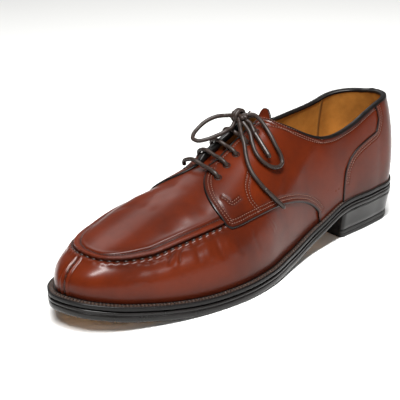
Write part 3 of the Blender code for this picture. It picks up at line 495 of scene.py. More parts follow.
@dataclass
class Line:
    """A line drawn over the last, such as a seam, with places evenly spaced along it."""

    last: Last
    rows: Sequence[tuple[float, float]]
    side: float = OUTER
    cornered: bool = False

    def __post_init__(self) -> None:
        """Measure the line."""
        station = np.array([row[0] for row in self.rows])
        rise = np.array([row[1] for row in self.rows])
        points = self.last.base(Places.at(self.side, station, rise))
        self.runs = runs_along(points)
        if self.cornered:
            self.station = lambda run: np.interp(run, self.runs, station)
            self.rise = lambda run: np.interp(run, self.runs, rise)
        else:
            self.station = curve_through(self.runs, station)
            self.rise = curve_through(self.runs, rise)

    @property
    def length(self) -> float:
        """The line's length in metres."""
        return float(self.runs[-1])

    def at(self, shares: Array, lift: Array = 0.0) -> Places:
        """Places at shares of the line's length."""
        run = np.asarray(shares, float) * self.length
        return Places.at(self.side, self.station(run), self.rise(run), lift)

    def spaced(self, cell: float, lift: float = 0.0) -> Places:
        """Places about a cell apart along the whole line."""
        return self.at(np.linspace(0, 1, max(2, round(self.length / cell) + 1)), lift)


def shifted(last: Last, line: Places, distance: float) -> Places:
    """A row of places moved sideways over the surface; a positive distance goes to its left.

    Args:
        last: the last.
        line: a row of places.
        distance: how far, positive to the left of the row.

    Returns:
        The moved places.
    """
    sideways = np.cross(last.normals(line), np.gradient(last.base(line), axis=0))
    sideways *= (distance / np.linalg.norm(sideways, axis=-1))[..., None]
    return moved(last, line, sideways)


def beside(last: Last, line: Places, distance: float) -> list[Places]:
    """A row of places moved sideways by a distance, one copy to each side."""
    return [shifted(last, line, distance), shifted(last, line, -distance)]


def moved(last: Last, places: Places, step: Array) -> Places:
    """Places moved over the surface by a small step in space.

    Args:
        last: the last.
        places: places on the last.
        step: the move of each place, as a vector.

    Returns:
        The moved places.
    """
    by_station, by_rise = last.slopes(places)
    aa, bb = (by_station**2).sum(-1), (by_rise**2).sum(-1)
    ab = (by_station * by_rise).sum(-1)
    a, b = (by_station * step).sum(-1), (by_rise * step).sum(-1)
    scale = aa * bb - ab * ab + 1e-12
    station = np.clip(places.station + (a * bb - b * ab) / scale, 0, 3)
    rise = np.clip(places.rise + (b * aa - a * ab) / scale, 0, 1)
    return Places.at(places.side, station, rise, places.lift)


REACH = 0.012


def nearest(points: Array, line: Array) -> tuple[Array, Array]:
    """Distance from each point to a line, and the run along the line where it is closest.

    Args:
        points: points in rows, (n, 3).
        line: the line's own points, (k, 3).

    Returns:
        The distances and the runs, both in metres.
    """
    runs = runs_along(line)
    distance = np.full(len(points), 1.0)
    run = np.zeros(len(points))
    low, high = line.min(0) - REACH, line.max(0) + REACH
    close = np.flatnonzero(((points > low) & (points < high)).all(1))
    for chunk in np.array_split(close, max(1, len(close) // 4000)):
        spots = points[chunk]
        first = ((spots[:, None] - line[None]) ** 2).sum(2).argmin(1)
        best = np.full(len(chunk), 1.0)
        for step in (-1, 0):
            start = np.clip(first + step, 0, len(line) - 2)
            along = line[start + 1] - line[start]
            share = ((spots - line[start]) * along).sum(1) / ((along**2).sum(1) + 1e-12)
            share = np.clip(share, 0, 1)
            gap = np.linalg.norm(spots - line[start] - share[:, None] * along, axis=1)
            better = gap < best
            best = np.where(better, gap, best)
            where = runs[start] + share * np.linalg.norm(along, axis=1)
            run[chunk] = np.where(better, where, run[chunk])
        distance[chunk] = best
    return distance, run


@dataclass(frozen=True)
class Mark:
    """A soft trough or ridge along a line on the leather, with how much it darkens it."""

    line: Array
    width: float
    height: float
    tone: float = 0.0
    fade: float = 0.0
    shape: Optional[Callable[[Array, Array], tuple[Array, Array]]] = None

    def relief(self, points: Array) -> tuple[Array, Array]:
        """Height and tone that the mark adds at each point.

        Args:
            points: the points to mark.

        Returns:
            The height and the tone at each point.
        """
        distance, run = nearest(points, self.line)
        if self.shape is not None:
            return self.shape(distance, run)
        share = bell(distance, 0.0, self.width)
        if self.fade:
            length = runs_along(self.line)[-1]
            ramp = self.fade * length
            share = share * smooth_step(0, ramp, run) * smooth_step(0, ramp, length - run)
        return self.height * share, self.tone * share


def new_object(
    name: str,
    points: Array,
    faces: Sequence,
    finishes: Sequence[bpy.types.Material],
    slots: Optional[Array] = None,
    tone: Optional[Array] = None,
) -> bpy.types.Object:
    """A smooth-shaded mesh object.

    Args:
        name: the piece's name.
        points: its points, (n, 3).
        faces: its faces, as rows of point numbers.
        finishes: its materials.
        slots: which material each face takes.
        tone: how dark each point is, from seams, inked and worn edges, and painted shade, for the material
            to read.

    Returns:
        The new object, linked to the scene.
    """
    mesh = bpy.data.meshes.new(name)
    faces = faces.tolist() if isinstance(faces, np.ndarray) else faces
    mesh.from_pydata(np.asarray(points, float).tolist(), [], faces)
    for finish in finishes:
        mesh.materials.append(finish)
    if slots is not None:
        mesh.polygons.foreach_set("material_index", np.asarray(slots, np.int32))
    mesh.polygons.foreach_set("use_smooth", np.ones(len(mesh.polygons), bool))
    if tone is not None:
        layer = mesh.attributes.new("tone", "FLOAT", "POINT")
        layer.data.foreach_set("value", np.asarray(tone, np.float32))
    mesh.validate()
    mesh.update()
    piece = bpy.data.objects.new(name, mesh)
    bpy.context.scene.collection.objects.link(piece)
    return piece


def welded(piece: bpy.types.Object, distance: float = 1e-6) -> bpy.types.Object:
    """The piece with points that lie together made one.

    Args:
        piece: the piece.
        distance: how close points lie that are made one.

    Returns:
        The same piece.
    """
    work = bmesh.new()
    work.from_mesh(piece.data)
    bmesh.ops.remove_doubles(work, verts=work.verts, dist=distance)
    bmesh.ops.dissolve_degenerate(work, dist=distance, edges=work.edges)
    work.to_mesh(piece.data)
    work.free()
    return piece


def net_faces(rows: int, columns: int) -> Array:
    """The four-sided faces of a net of points, rows by columns.

    Args:
        rows: how many rows of points.
        columns: how many points in a row.

    Returns:
        The faces as numbers of points.
    """
    i, j = np.meshgrid(np.arange(rows - 1), np.arange(columns - 1), indexing="ij")
    a = (i * columns + j).ravel()
    return np.stack([a, a + 1, a + columns + 1, a + columns], 1)


def hoops_faces(hoops: int, round_count: int) -> Array:
    """The faces between closed hoops of points.

    Args:
        hoops: how many hoops.
        round_count: how many points in a hoop.

    Returns:
        The faces as numbers of points.
    """
    i, j = np.meshgrid(np.arange(hoops - 1), np.arange(round_count), indexing="ij")
    k = (j + 1) % round_count
    a, b = i * round_count + j, i * round_count + k
    return np.stack([a, b, b + round_count, a + round_count], -1).reshape(-1, 4)


def sweep(path: Array, radius: Array, sides: int) -> tuple[Array, list]:
    """A round tube along a path, closed at both ends with domes.

    Args:
        path: points of the centre line.
        radius: one radius, or one for each point.
        sides: points round the tube.

    Returns:
        Points and faces.
    """
    path = np.asarray(path, float)
    radius = np.broadcast_to(radius, len(path)).astype(float)
    run = unit(np.gradient(path, axis=0))
    across = np.cross(run[0], (0.31, 0.22, 0.92))
    rows = []
    angles = (np.arange(sides) * 2 * math.pi / sides)[:, None]
    for centre, way, size in zip(path, run, radius):
        across = unit(across - way * (across @ way))
        up = np.cross(way, across)
        rows.append(centre + size * (np.cos(angles) * across + np.sin(angles) * up))
    first = path[0] - run[0] * radius[0] * 0.5 + (rows[0] - path[0]) * 0.55
    last = path[-1] + run[-1] * radius[-1] * 0.5 + (rows[-1] - path[-1]) * 0.55
    rows = [first] + rows + [last]
    points = np.concatenate(rows)
    faces = hoops_faces(len(rows), sides).tolist()
    end = len(points) - sides
    faces += [list(range(sides))[::-1], list(range(end, end + sides))]
    return points, faces


def joined(parts: Sequence[tuple[Array, Sequence]]) -> tuple[Array, list]:
    """Several meshes as one, points and faces.

    Args:
        parts: the points and faces of each part.

    Returns:
        All the points and all the faces.
    """
    points, faces, start = [], [], 0
    for some, other in parts:
        points.append(some)
        rows = other.tolist() if isinstance(other, np.ndarray) else other
        faces += [[start + k for k in face] for face in rows]
        start += len(some)
    return np.concatenate(points), faces


def smooth_path(rows: Array, step: float) -> Array:
    """A smooth path through points, evenly spaced.

    Args:
        rows: the points that it goes through.
        step: about how far apart the path's own points are.

    Returns:
        The points of the path.
    """
    rows = np.asarray(rows, float)
    runs = runs_along(rows)
    fine = np.linspace(0, runs[-1], 12 * len(rows))
    found = np.stack([curve_through(runs, rows[:, k])(fine) for k in range(3)], 1)
    length = runs_along(found)[-1]
    return along_path(found, np.linspace(0, length, max(3, int(round(length / step)) + 1)))


def keep(piece: bpy.types.Object, slot: str, *nodes: str) -> bpy.types.Object:
    """Ride a piece on the shoe and report it.

    Args:
        piece: the piece.
        slot: the record's material slot for it.
        nodes: the frame's solids that it stands for.

    Returns:
        The same piece.
    """
    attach(piece, "root")
    if nodes:
        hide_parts(*nodes)
    LOG.info("%s: %d faces, %s", piece.name, len(piece.data.polygons), slot)
    return piece


@dataclass
class Leather:
    """One cut piece of leather lying over the last, with its edge turned down and inked."""

    last: Last
    name: str
    places: Places
    marks: Sequence[Mark] = ()
    thickness: float = 0.0015
    turn: float = 0.0006
    edge_reach: float = 0.0012
    slack: bool = True
    rim: bool = True
    ink: float = 0.85
    burnish: float = 0.28
    burnish_reach: float = 0.006

    def dressed(self) -> tuple[Array, Array, Array]:
        """The sheet's points with the marks pressed in, the directions out of it, and its tone.

        Returns:
            Points, directions and tone.
        """
        base = self.last.points(self.places, self.slack)
        flat = base.reshape(-1, 3)
        height, tone = np.zeros(len(flat)), np.zeros(len(flat))
        for mark in self.marks:
            more, dark = mark.relief(flat)
            height += more
            tone = np.maximum(tone, dark)
        normals = self.last.normals(self.places)
        return base + normals * height.reshape(base.shape[:2])[..., None], normals, tone

    def bands(self, points: Array, normals: Array, ring: Array) -> list[Array]:
        """The hoops of points that turn the edge over and down.

        Args:
            points: the sheet's points, rows by columns.
            normals: the directions out of the sheet.
            ring: the numbers of its edge points, in order.

        Returns:
            One hoop for each step of the turn.
        """
        columns = points.shape[1]
        line, up = points.reshape(-1, 3)[ring], normals.reshape(-1, 3)[ring]
        out = np.cross(np.roll(line, -1, 0) - np.roll(line, 1, 0), up)
        out /= np.linalg.norm(out, axis=1)[:, None] + 1e-12
        outward = points[0, columns // 2] - points[1, columns // 2]
        if (out[columns // 2] * outward).sum() < 0:
            out = -out
        turns = [math.radians(angle) for angle in (30, 60, 90)]
        found = [line + self.turn * (out * math.sin(turn) - up * (1 - math.cos(turn))) for turn in turns]
        return found + [line + out * self.turn - up * self.thickness]

    def build(self, finishes: Sequence[bpy.types.Material], weld: bool = False) -> bpy.types.Object:
        """The piece as a mesh.

        Args:
            finishes: its finish, and a second one for its cut edge.
            weld: whether points that lie together are made one.

        Returns:
            The new piece.
        """
        points, normals, tone = self.dressed()
        rows, columns = points.shape[:2]
        faces = net_faces(rows, columns)
        flat = points.reshape(-1, 3)
        a, b, c = (flat[faces[:, k]] for k in (0, 1, 3))
        inside_out = (np.cross(b - a, c - a) * normals.reshape(-1, 3)[faces[:, 0]]).sum() < 0
        everything, slots = [flat], np.zeros(len(faces), int)
        if self.rim:
            ring = np.r_[
                np.arange(columns),
                np.arange(1, rows) * columns + columns - 1,
                (rows - 1) * columns + np.arange(columns - 2, -1, -1),
                np.arange(rows - 2, 0, -1) * columns,
            ]
            distance, _ = nearest(flat, flat[np.r_[ring, ring[:1]]])
            rubbed = self.ink * bell(distance, 0.0, self.edge_reach)
            rubbed = np.maximum(rubbed, self.burnish * bell(distance, 0.0, self.burnish_reach))
            tone = np.maximum(tone, rubbed)
            previous, start = ring, len(flat)
            for hoop in self.bands(points, normals, ring):
                everything.append(hoop)
                new = start + np.arange(len(ring))
                band = np.stack([previous, np.roll(previous, -1), np.roll(new, -1), new], 1)
                faces = np.concatenate([faces, band[:, ::-1]])
                slots = np.r_[slots, np.ones(len(ring), int)]
                tone = np.r_[tone, np.ones(len(ring))]
                previous, start = new, start + len(ring)
        if inside_out:
            faces = faces[:, ::-1]
        finish_slots = slots if len(finishes) > 1 else None
        piece = new_object(self.name, np.concatenate(everything), faces, finishes, finish_slots, tone)
        return welded(piece) if weld else piece


def stitches(
    points: Array, normals: Array, pitch: float, length: float, width: float, stand: float
) -> tuple[Array, list]:
    """A row of stitches as one mesh: each is a short thread that dips into its holes.

    Args:
        points: where the row runs.
        normals: the directions out of what carries it.
        pitch: distance from one stitch to the next.
        length: length of each stitch.
        width: thickness of the thread.
        stand: how far the top of a stitch stands over the line.

    Returns:
        Points and faces.
    """
    runs = runs_along(points)
    count = max(1, int(runs[-1] // pitch))
    starts = (np.arange(count) + 0.5) * runs[-1] / count
    shape = np.linspace(-0.5, 0.5, 5)
    at = (starts[:, None] + shape * length).clip(0, runs[-1])
    spots = along_path(points, at)
    up = unit(np.stack([np.interp(starts, runs, normals[:, k]) for k in range(3)], -1))
    bow = stand - width / 2 - (2 * np.abs(shape)) ** 3 * width * 1.1
    spots = spots + up[:, None] * bow[None, :, None]
    way = spots[:, -1] - spots[:, 0]
    way /= np.linalg.norm(way, axis=1)[:, None] + 1e-12
    across = np.cross(way, up)
    angles = np.arange(6) * math.pi / 3
    sizes = width / 2 * np.array([0.55, 0.95, 1.0, 0.95, 0.55])
    section = np.cos(angles)[:, None, None] * across + np.sin(angles)[:, None, None] * up
    hoops = spots[:, :, None] + sizes[None, :, None, None] * section.transpose(1, 0, 2)[:, None]
    one = hoops_faces(5, 6).tolist() + [[5, 4, 3, 2, 1, 0], [24, 25, 26, 27, 28, 29]]
    faces = [[30 * k + v for v in face] for k in range(count) for face in one]
    return hoops.reshape(-1, 3), faces


def sewn(last: Last, line: Places, thread: "Thread", stand: float = 0.00022) -> tuple[Array, list]:
    """A row of stitches along a line on the last."""
    return stitches(last.points(line), last.normals(line), *thread.value, stand=stand)


class Thread(Enum):
    """How a row is sewn: its pitch, stitch length and thread thickness, in metres."""

    FINE = (0.00185, 0.00150, 0.00055)
    HAND = (0.00500, 0.00380, 0.00110)
    WELT = (0.00330, 0.00250, 0.00085)


def opening_rise(last: Last, station: Array, side: Array) -> Array:
    """Rise of the shoe's opening: the topline, then the edge of the facing."""
    topline = last.topline(side, np.minimum(station, TOPLINE_END))
    return np.where(station < FACING_ROWS[0][0], topline, table_curve(FACING_ROWS, 1)(station))


# Folds where the foot bends: four places as station and rise, then width, height and tone; the tone darkens
# the troughs as painted shade in the creases
FOLD_ROWS = (
    ((1.925, 0.450), (1.955, 0.410), (1.972, 0.360), (1.980, 0.310), 0.0012, -0.00055, 0.50),
    ((1.905, 0.445), (1.925, 0.405), (1.938, 0.350), (1.940, 0.290), 0.0012, -0.00045, 0.40),
    ((1.915, 0.430), (1.942, 0.380), (1.956, 0.320), (1.960, 0.250), 0.0028, 0.00045, 0.0),
    ((1.860, 0.430), (1.875, 0.370), (1.880, 0.300), (1.875, 0.230), 0.0022, -0.00040, 0.14),
    ((1.830, 0.420), (1.840, 0.360), (1.842, 0.300), (1.835, 0.230), 0.0026, 0.00040, 0.0),
    ((1.800, 0.410), (1.808, 0.350), (1.806, 0.280), (1.795, 0.200), 0.0018, -0.00042, 0.18),
    ((1.765, 0.380), (1.770, 0.320), (1.766, 0.250), (1.750, 0.180), 0.0024, 0.00034, 0.0),
    ((1.735, 0.360), (1.738, 0.300), (1.732, 0.230), (1.715, 0.160), 0.0016, -0.00036, 0.16),
    ((1.660, 0.320), (1.662, 0.260), (1.655, 0.200), (1.640, 0.130), 0.0016, -0.00030, 0.14),
    ((2.090, 0.430), (2.110, 0.350), (2.115, 0.270), (2.110, 0.190), 0.0040, -0.00030, 0.05),
    ((2.180, 0.420), (2.200, 0.330), (2.205, 0.240), (2.200, 0.160), 0.0050, 0.00035, 0.0),
)


@dataclass
class Upper:
    """The leather upper: vamp, apron plug, two quarters, heel counter, edges and stitching."""

    last: Last
    finishes: dict
    quarter_lift: float = 0.0013
    counter_lift: float = 0.0009
    wall: float = 0.0024
    lining_depth: float = 0.0015
    back: float = 1.22
    apron_length: float = 0.0

    def keep(self, piece: bpy.types.Object) -> bpy.types.Object:
        """Ride a piece of the upper on the shoe in place of the solid upper."""
        return keep(piece, "upper_leather", "upper")

    def columns(self, first: float, last: float, cell: float) -> Array:
        """Stations from one to another, about a cell apart along the feather.

        Args:
            first: the first station.
            last: the last station.
            cell: about how far apart they are.

        Returns:
            The stations.
        """
        fine = np.linspace(first, last, 400)
        edge, _ = self.last.edge(OUTER, fine)
        runs = runs_along(edge)
        count = max(4, int(round(runs[-1] / cell)) + 1)
        return np.interp(np.linspace(0, runs[-1], count), runs, fine)

    def both_sides(self, stations: Array) -> tuple[Array, Array]:
        """A walk round the toe: outer side forwards, then the inner side backwards."""
        side = np.r_[np.full(len(stations), OUTER), np.full(len(stations) - 1, INNER)]
        return side, np.r_[stations, stations[-2::-1]]

    def apron_line(self) -> Array:
        """The hand-sewn apron seam, as points from the outer side round the toe to the inner.

        Returns:
            The points.
        """
        side, station = self.both_sides(np.linspace(1.60, 3.0, 240))
        rise = table_curve(APRON_ROWS, 1)(station)
        return self.last.points(Places.at(side, station, rise), False)

    def toe_line(self) -> Line:
        """The split seam down the toe."""
        return Line(self.last, TOE_SEAM_ROWS)

    def folds(
        self,
        rows: Sequence[tuple],
        sides: Sequence[float],
        fade: float,
        share: float = 1.0,
        slack: bool = True,
    ) -> list[Mark]:
        """Soft folds and pulls in the leather, for each row of a table and each side.

        Args:
            rows: the places of a fold as station and rise, then its width, height and tone; the tone darkens
                the sunken folds as painted shade.
            sides: the sides that have it.
            fade: the share of its length over which each end fades.
            share: the share of its height that the leather takes.
            slack: whether it lies on the slack leather.

        Returns:
            The marks.
        """
        found = []
        for *spots, width, height, tone in rows:
            for side in sides:
                line = self.last.points(Line(self.last, spots, side).spaced(MARK_STEP), slack)
                found.append(Mark(line, width, height * share, tone, fade))
        return found

    def seam_ends(self, run: Array) -> Array:
        """How much of the apron seam shows: none of it lies under the quarters."""
        total = self.apron_length
        return smooth_step(0.028, 0.036, run) * smooth_step(0.028, 0.036, total - run)

    def wall_seam(self, distance: Array, run: Array) -> tuple[Array, Array]:
        """The vamp beside the apron: a full, puckered roll that dives into the hand seam.

        Args:
            distance: how far each point lies from the seam.
            run: how far along the seam each point lies.

        Returns:
            Heights and tones.
        """
        mm = distance * 1000
        pull = 0.5 + 0.5 * np.cos(run / Thread.HAND.value[0] * 2 * math.pi)
        roll = 0.85 * bell(mm, 2.8, 1.9) * (1 - 0.30 * pull)
        groove = -1.10 * bell(mm, 0.0, 0.9)
        holes = -0.35 * pull**3 * bell(mm, 1.6, 0.9)
        seam = np.maximum(bell(mm, 0.0, 1.0), 0.60 * pull**2 * bell(mm, 1.6, 1.1))
        tone = np.maximum(seam, 0.30 * bell(mm, 0.0, 7.0))
        ends = self.seam_ends(run)
        return (roll + groove + holes) * ends / 1000, tone * ends

    def plug_seam(self, distance: Array, run: Array) -> tuple[Array, Array]:
        """The apron plug beside the seam: a raised ridge, then a sewn channel.

        Args:
            distance: how far each point lies from the seam.
            run: how far along the seam each point lies.

        Returns:
            Heights and tones.
        """
        mm = distance * 1000
        ridge = 1.25 * bell(mm, 1.15, 0.85) + 0.55 * bell(mm, 2.3, 1.3)
        edge = -0.9 * bell(mm, 0.0, 0.5)
        channel = -0.62 * bell(mm, 4.5, 0.75)
        bank = 0.25 * bell(mm, 6.2, 1.1)
        seam = np.maximum(0.9 * bell(mm, 0.0, 0.5), 0.62 * bell(mm, 4.5, 0.75))
        tone = np.maximum(seam, 0.26 * bell(mm, 4.0, 7.0) * smooth_step(2.0, 4.0, mm))
        ends = self.seam_ends(run)
        return (ridge + edge + channel + bank) * ends / 1000, tone * ends

    def toe_seam(self, distance: Array, run: Array) -> tuple[Array, Array]:
        """The split toe: two thin raised ribs with a sewn valley between them.

        Args:
            distance: how far each point lies from the seam.
            run: how far along the seam each point lies.

        Returns:
            Heights and tones.
        """
        mm = distance * 1000
        ribs = 0.85 * bell(mm, 2.1, 0.75)
        valley = -0.35 * bell(mm, 0.0, 0.9)
        foot = -0.22 * bell(mm, 3.7, 0.7)
        ends = smooth_step(-0.002, 0.006, run)
        tone = np.maximum(0.75 * bell(mm, 0.0, 0.85), 0.30 * bell(mm, 3.6, 0.6))
        return (ribs + valley + foot) * ends / 1000, tone

    def vamp(self) -> None:
        """The vamp wall, from the feather up to the apron seam and round the toe."""
        side, station = self.both_sides(self.columns(self.back, 3.0, 0.00085))
        apron, under = table_curve(APRON_ROWS, 1)(station), table_curve(WALL_TOP_ROWS, 1)(station)
        top = np.where(station < WALL_TOP_ROWS[-1][0], under, apron)
        rows = 1 - np.linspace(1, 0, 58) ** 1.25
        places = Places.at(side[None], station[None], rows[:, None] * top[None])
        apron = self.apron_line()
        self.apron_length = float(np.linalg.norm(np.diff(apron, axis=0), axis=1).sum())
        toe = self.last.points(self.toe_line().spaced(STITCH_STEP), False)
        marks = [Mark(apron, 0, 0, shape=self.wall_seam), Mark(toe, 0, 0, shape=self.toe_seam)]
        marks += self.folds(FOLD_ROWS, (OUTER, INNER), 0.28, FOLD_SHARE)
        foot = self.last.points(Places.at(side, station, 0.0), False)
        marks.append(Mark(foot, 0.0050, 0.0, 0.42))
        for sign in (OUTER, INNER):
            for offset in (-0.0013, 0.0013):
                line = Line(
                    self.last, ((1.606, 0.352), (1.592, 0.300), (1.572, 0.245), (1.552, 0.180)), sign
                ).spaced(MARK_STEP)
                row = shifted(self.last, line, offset)
                marks.append(Mark(self.last.points(row, False), 0.0007, 0.00030, 0.0, 0.2))
        wall = Leather(self.last, "vamp", places, marks, 0.0016, 0.0002, 0.0010, slack=False, rim=False)
        self.keep(wall.build([self.finishes["calf"]]))

    def plug(self) -> None:
        """The apron plug over the toe and forefoot, one sheet from side to side."""
        side, station = self.both_sides(self.columns(1.585, 3.0, 0.00095))
        low = table_curve(APRON_ROWS, 1)(station)
        rows = np.linspace(0, 1, 62) ** 1.2
        rise = low[None] + (1 - low)[None] * rows[:, None]
        places = Places.at(side[None], station[None], rise)
        marks = [Mark(self.apron_line(), 0, 0, shape=self.plug_seam)]
        # Folds across the plug; the sunken ones are darkened as painted shade in the creases
        folds = (
            ((1.93, 0.62), (1.90, 0.80), (1.885, 1.0), 0.0040, -0.00040, 0.10),
            ((1.86, 0.60), (1.835, 0.80), (1.82, 1.0), 0.0050, 0.00035, 0.0),
            ((1.80, 0.58), (1.775, 0.78), (1.765, 1.0), 0.0035, -0.00035, 0.08),
        )
        marks += self.folds(folds, (OUTER, INNER), 0.25, slack=False)
        plug = Leather(self.last, "apron_plug", places, marks, slack=False, rim=False)
        self.keep(plug.build([self.finishes["calf"]], weld=True))

    def quarter_edges(self, side: float) -> dict:
        """The four edges of a quarter as curves of station and rise over a share of their length.

        Args:
            side: OUTER or INNER.

        Returns:
            The edges by their first letters.
        """
        low = [(t, 0.0) for t in np.linspace(0, 1.27, 24)] + list(LOWER_ROWS[::-1])
        tops = np.linspace(0, 1.40, 24)
        high = [(t, float(self.last.topline(side, t))) for t in tops] + list(FACING_ROWS[:-1])
        front = list(FRONT_ROWS[::-1])
        high[-1] = (front[-1][0] - 0.006, front[-1][1] + 0.012)
        back = [(0.0, h) for h in np.linspace(0, float(self.last.topline(side, 0.0)), 12)]
        front[-1] = high[-1]
        return {key: Line(self.last, rows, side) for key, rows in zip("lhbf", (low, high, back, front))}

    def quarter_places(self, side: float, columns: int, rows: int, edges: dict) -> Places:
        """A net of places between four edges.

        Args:
            side: OUTER or INNER.
            columns: how many points in a row.
            rows: how many rows of points.
            edges: its four edges, by the first letter of low, high, back and front.

        Returns:
            The places of the net.
        """
        u, v = np.linspace(0, 1, columns), np.linspace(0, 1, rows)
        low, high, back, front = (edges[key] for key in "lhbf")
        found = []
        for name in ("station", "rise"):
            bottom = getattr(low.at(u), name)[None]
            top = getattr(high.at(u), name)[None]
            left = getattr(back.at(v), name)[:, None]
            right = getattr(front.at(v), name)[:, None]
            uu, vv = u[None], v[:, None]
            corner = (
                (1 - uu) * (1 - vv) * bottom[0, 0]
                + uu * (1 - vv) * bottom[0, -1]
                + (1 - uu) * vv * top[0, 0]
                + uu * vv * top[0, -1]
            )
            found.append((1 - vv) * bottom + vv * top + (1 - uu) * left + uu * right - corner)
        return Places.at(side, np.clip(found[0], 0, 3), np.clip(found[1], 0, 1), self.quarter_lift)

    def quarter_rows(self, side: float) -> list[tuple[Places, Thread]]:
        """The sewn rows of a quarter.

        Args:
            side: OUTER or INNER.

        Returns:
            Each row with its thread.
        """
        front = Line(self.last, FRONT_ROWS[:-1], side).spaced(STITCH_STEP, self.quarter_lift)
        lower = Line(self.last, LOWER_ROWS[:-1], side).spaced(STITCH_STEP, self.quarter_lift)
        bar = Line(self.last, ((1.584, 0.647), (1.626, 0.557), (1.634, 0.486), (1.618, 0.372)), side)
        collar = Line(self.last, ((1.432, 0.925), (1.395, 0.700), (1.330, 0.520), (1.262, 0.385)), side)
        found = [(self.inner(front, 0.0022), Thread.FINE), (self.inner(front, 0.0042), Thread.FINE)]
        found += [(self.inner(lower, 0.0022), Thread.FINE), (self.inner(lower, 0.0044), Thread.FINE)]
        for offset in (-0.0011, 0.0011):
            for line in (bar, collar):
                row = line.spaced(STITCH_STEP, self.quarter_lift)
                found.append((shifted(self.last, row, offset), Thread.FINE))
        tack = Line(
            self.last,
            ((1.716, 0.645), (1.707, 0.599), (1.703, 0.553), (1.687, 0.547), (1.664, 0.547)),
            side,
        )
        for offset in (-0.0009, 0.0009):
            row = tack.spaced(STITCH_STEP, self.quarter_lift)
            found.append((shifted(self.last, row, offset), Thread.FINE))
        stations = np.linspace(0.0, TOPLINE_END, 160)
        rise = self.last.topline(side, stations)
        top = Places.at(side, stations, rise, self.quarter_lift)
        found.append((self.lowered(top, 0.0034), Thread.FINE))
        facing = Line(self.last, FACING_ROWS[:-1], side).spaced(STITCH_STEP, self.quarter_lift)
        found.append((self.lowered(facing, 0.0028), Thread.FINE))
        return found

    def inner(self, line: Places, offset: float) -> Places:
        """A line moved back into the quarter.

        Args:
            line: a row of places.
            offset: how far.

        Returns:
            The moved places.
        """
        one, other = beside(self.last, line, offset)
        score = [(p.rise - line.rise).mean() - (p.station - line.station).mean() * 3 for p in (one, other)]
        return one if score[0] > score[1] else other

    def lowered(self, line: Places, offset: float) -> Places:
        """A line moved down from an edge above it."""
        one, other = beside(self.last, line, offset)
        return one if one.rise.mean() < other.rise.mean() else other

    def quarter(self, side: float) -> None:
        """One quarter with its facing, sewn rows and eyelet hollows.

        Args:
            side: OUTER or INNER.
        """
        name = "outer" if side > 0 else "inner"
        edges = self.quarter_edges(side)
        places = self.quarter_places(side, 250, 100, edges)
        marks, seams = [], []
        for line, thread in self.quarter_rows(side):
            marks.append(Mark(self.last.points(line), 0.0008, -0.00032, 0.60))
            seams.append(sewn(self.last, line, thread))
        for station, rise in EYELET_ROWS:
            centre = self.last.points(
                Places.at(side, [station, station], [rise, rise + 0.001], self.quarter_lift)
            )
            marks.append(Mark(centre, 0.0026, -0.0005, 0.35))
        # Folds in the quarter; the sunken ones are darkened as painted shade in the creases
        folds = (
            ((1.56, 0.40), (1.50, 0.46), (1.44, 0.50), (1.38, 0.52), 0.0045, -0.0004, 0.08),
            ((1.46, 0.30), (1.40, 0.36), (1.33, 0.40), (1.26, 0.42), 0.0050, 0.0004, 0.0),
            ((1.52, 0.32), (1.47, 0.38), (1.42, 0.44), (1.36, 0.48), 0.0030, -0.0003, 0.10),
            ((1.20, 0.26), (1.10, 0.36), (1.02, 0.46), (0.97, 0.55), 0.0060, -0.0004, 0.06),
        )
        marks += self.folds(folds, (side,), 0.3)
        quarter = Leather(self.last, "quarter_" + name, places, marks, 0.0016, 0.0008, 0.0011)
        self.keep(quarter.build([self.finishes["calf"], self.finishes["ink"]]))
        points, faces = joined(seams)
        self.keep(new_object("quarter_stitching_" + name, points, faces, [self.finishes["thread"]]))

    def counter(self) -> None:
        """The heel counter, a patch round the back seam with a double row of stitches."""
        nets, seams = [], []
        for side in (INNER, OUTER):
            start = COUNTER_ROWS[0][0]
            share = float(self.last.topline(side, start)) / COUNTER_ROWS[0][1]
            seam = [(t, h * share if h > 0.2 else h * (1 + (share - 1) * h / 0.2)) for t, h in COUNTER_ROWS]
            split = 5
            low = [(t, 0.0) for t in np.linspace(0, COUNTER_ROWS[-1][0], 20)]
            tops = [(t, float(self.last.topline(side, t))) for t in np.linspace(0, start, 40)]
            edge = Line(self.last, seam[: split + 1], side).spaced(0.001)
            high = tops[:-1] + list(zip(edge.station, edge.rise))
            front = seam[split:][::-1]
            back = [(0.0, h) for h in np.linspace(0, float(self.last.topline(side, 0.0)), 12)]
            edges = {
                key: Line(self.last, rows, side, key == "h") for key, rows in zip(
                    "lhbf", (low, high, back, front)
                )
            }
            net = self.quarter_places(side, 130, 80, edges)
            net.lift += self.counter_lift
            nets.append(net)
            line = Line(self.last, seam[:-1], side).spaced(
                STITCH_STEP, self.quarter_lift + self.counter_lift
            )
            for offset in (0.0020, 0.0040):
                options = beside(self.last, line, offset)
                seams.append(min(options, key=lambda p: p.station.mean()))
        places = Places(*(np.concatenate([getattr(nets[0], k)[:, ::-1], getattr(nets[1], k)[:, 1:]], 1)
                          for k in ("side", "station", "rise", "lift")))
        marks = [Mark(self.last.points(line), 0.0007, -0.00028, 0.45) for line in seams]
        patch = Leather(self.last, "counter", places, marks, 0.0011, 0.0004, 0.0010)
        self.keep(patch.build([self.finishes["calf"], self.finishes["ink"]], weld=True))
        rows = [sewn(self.last, line, Thread.FINE) for line in seams]
        self.keep(new_object("counter_stitching", *joined(rows), [self.finishes["thread"]]))

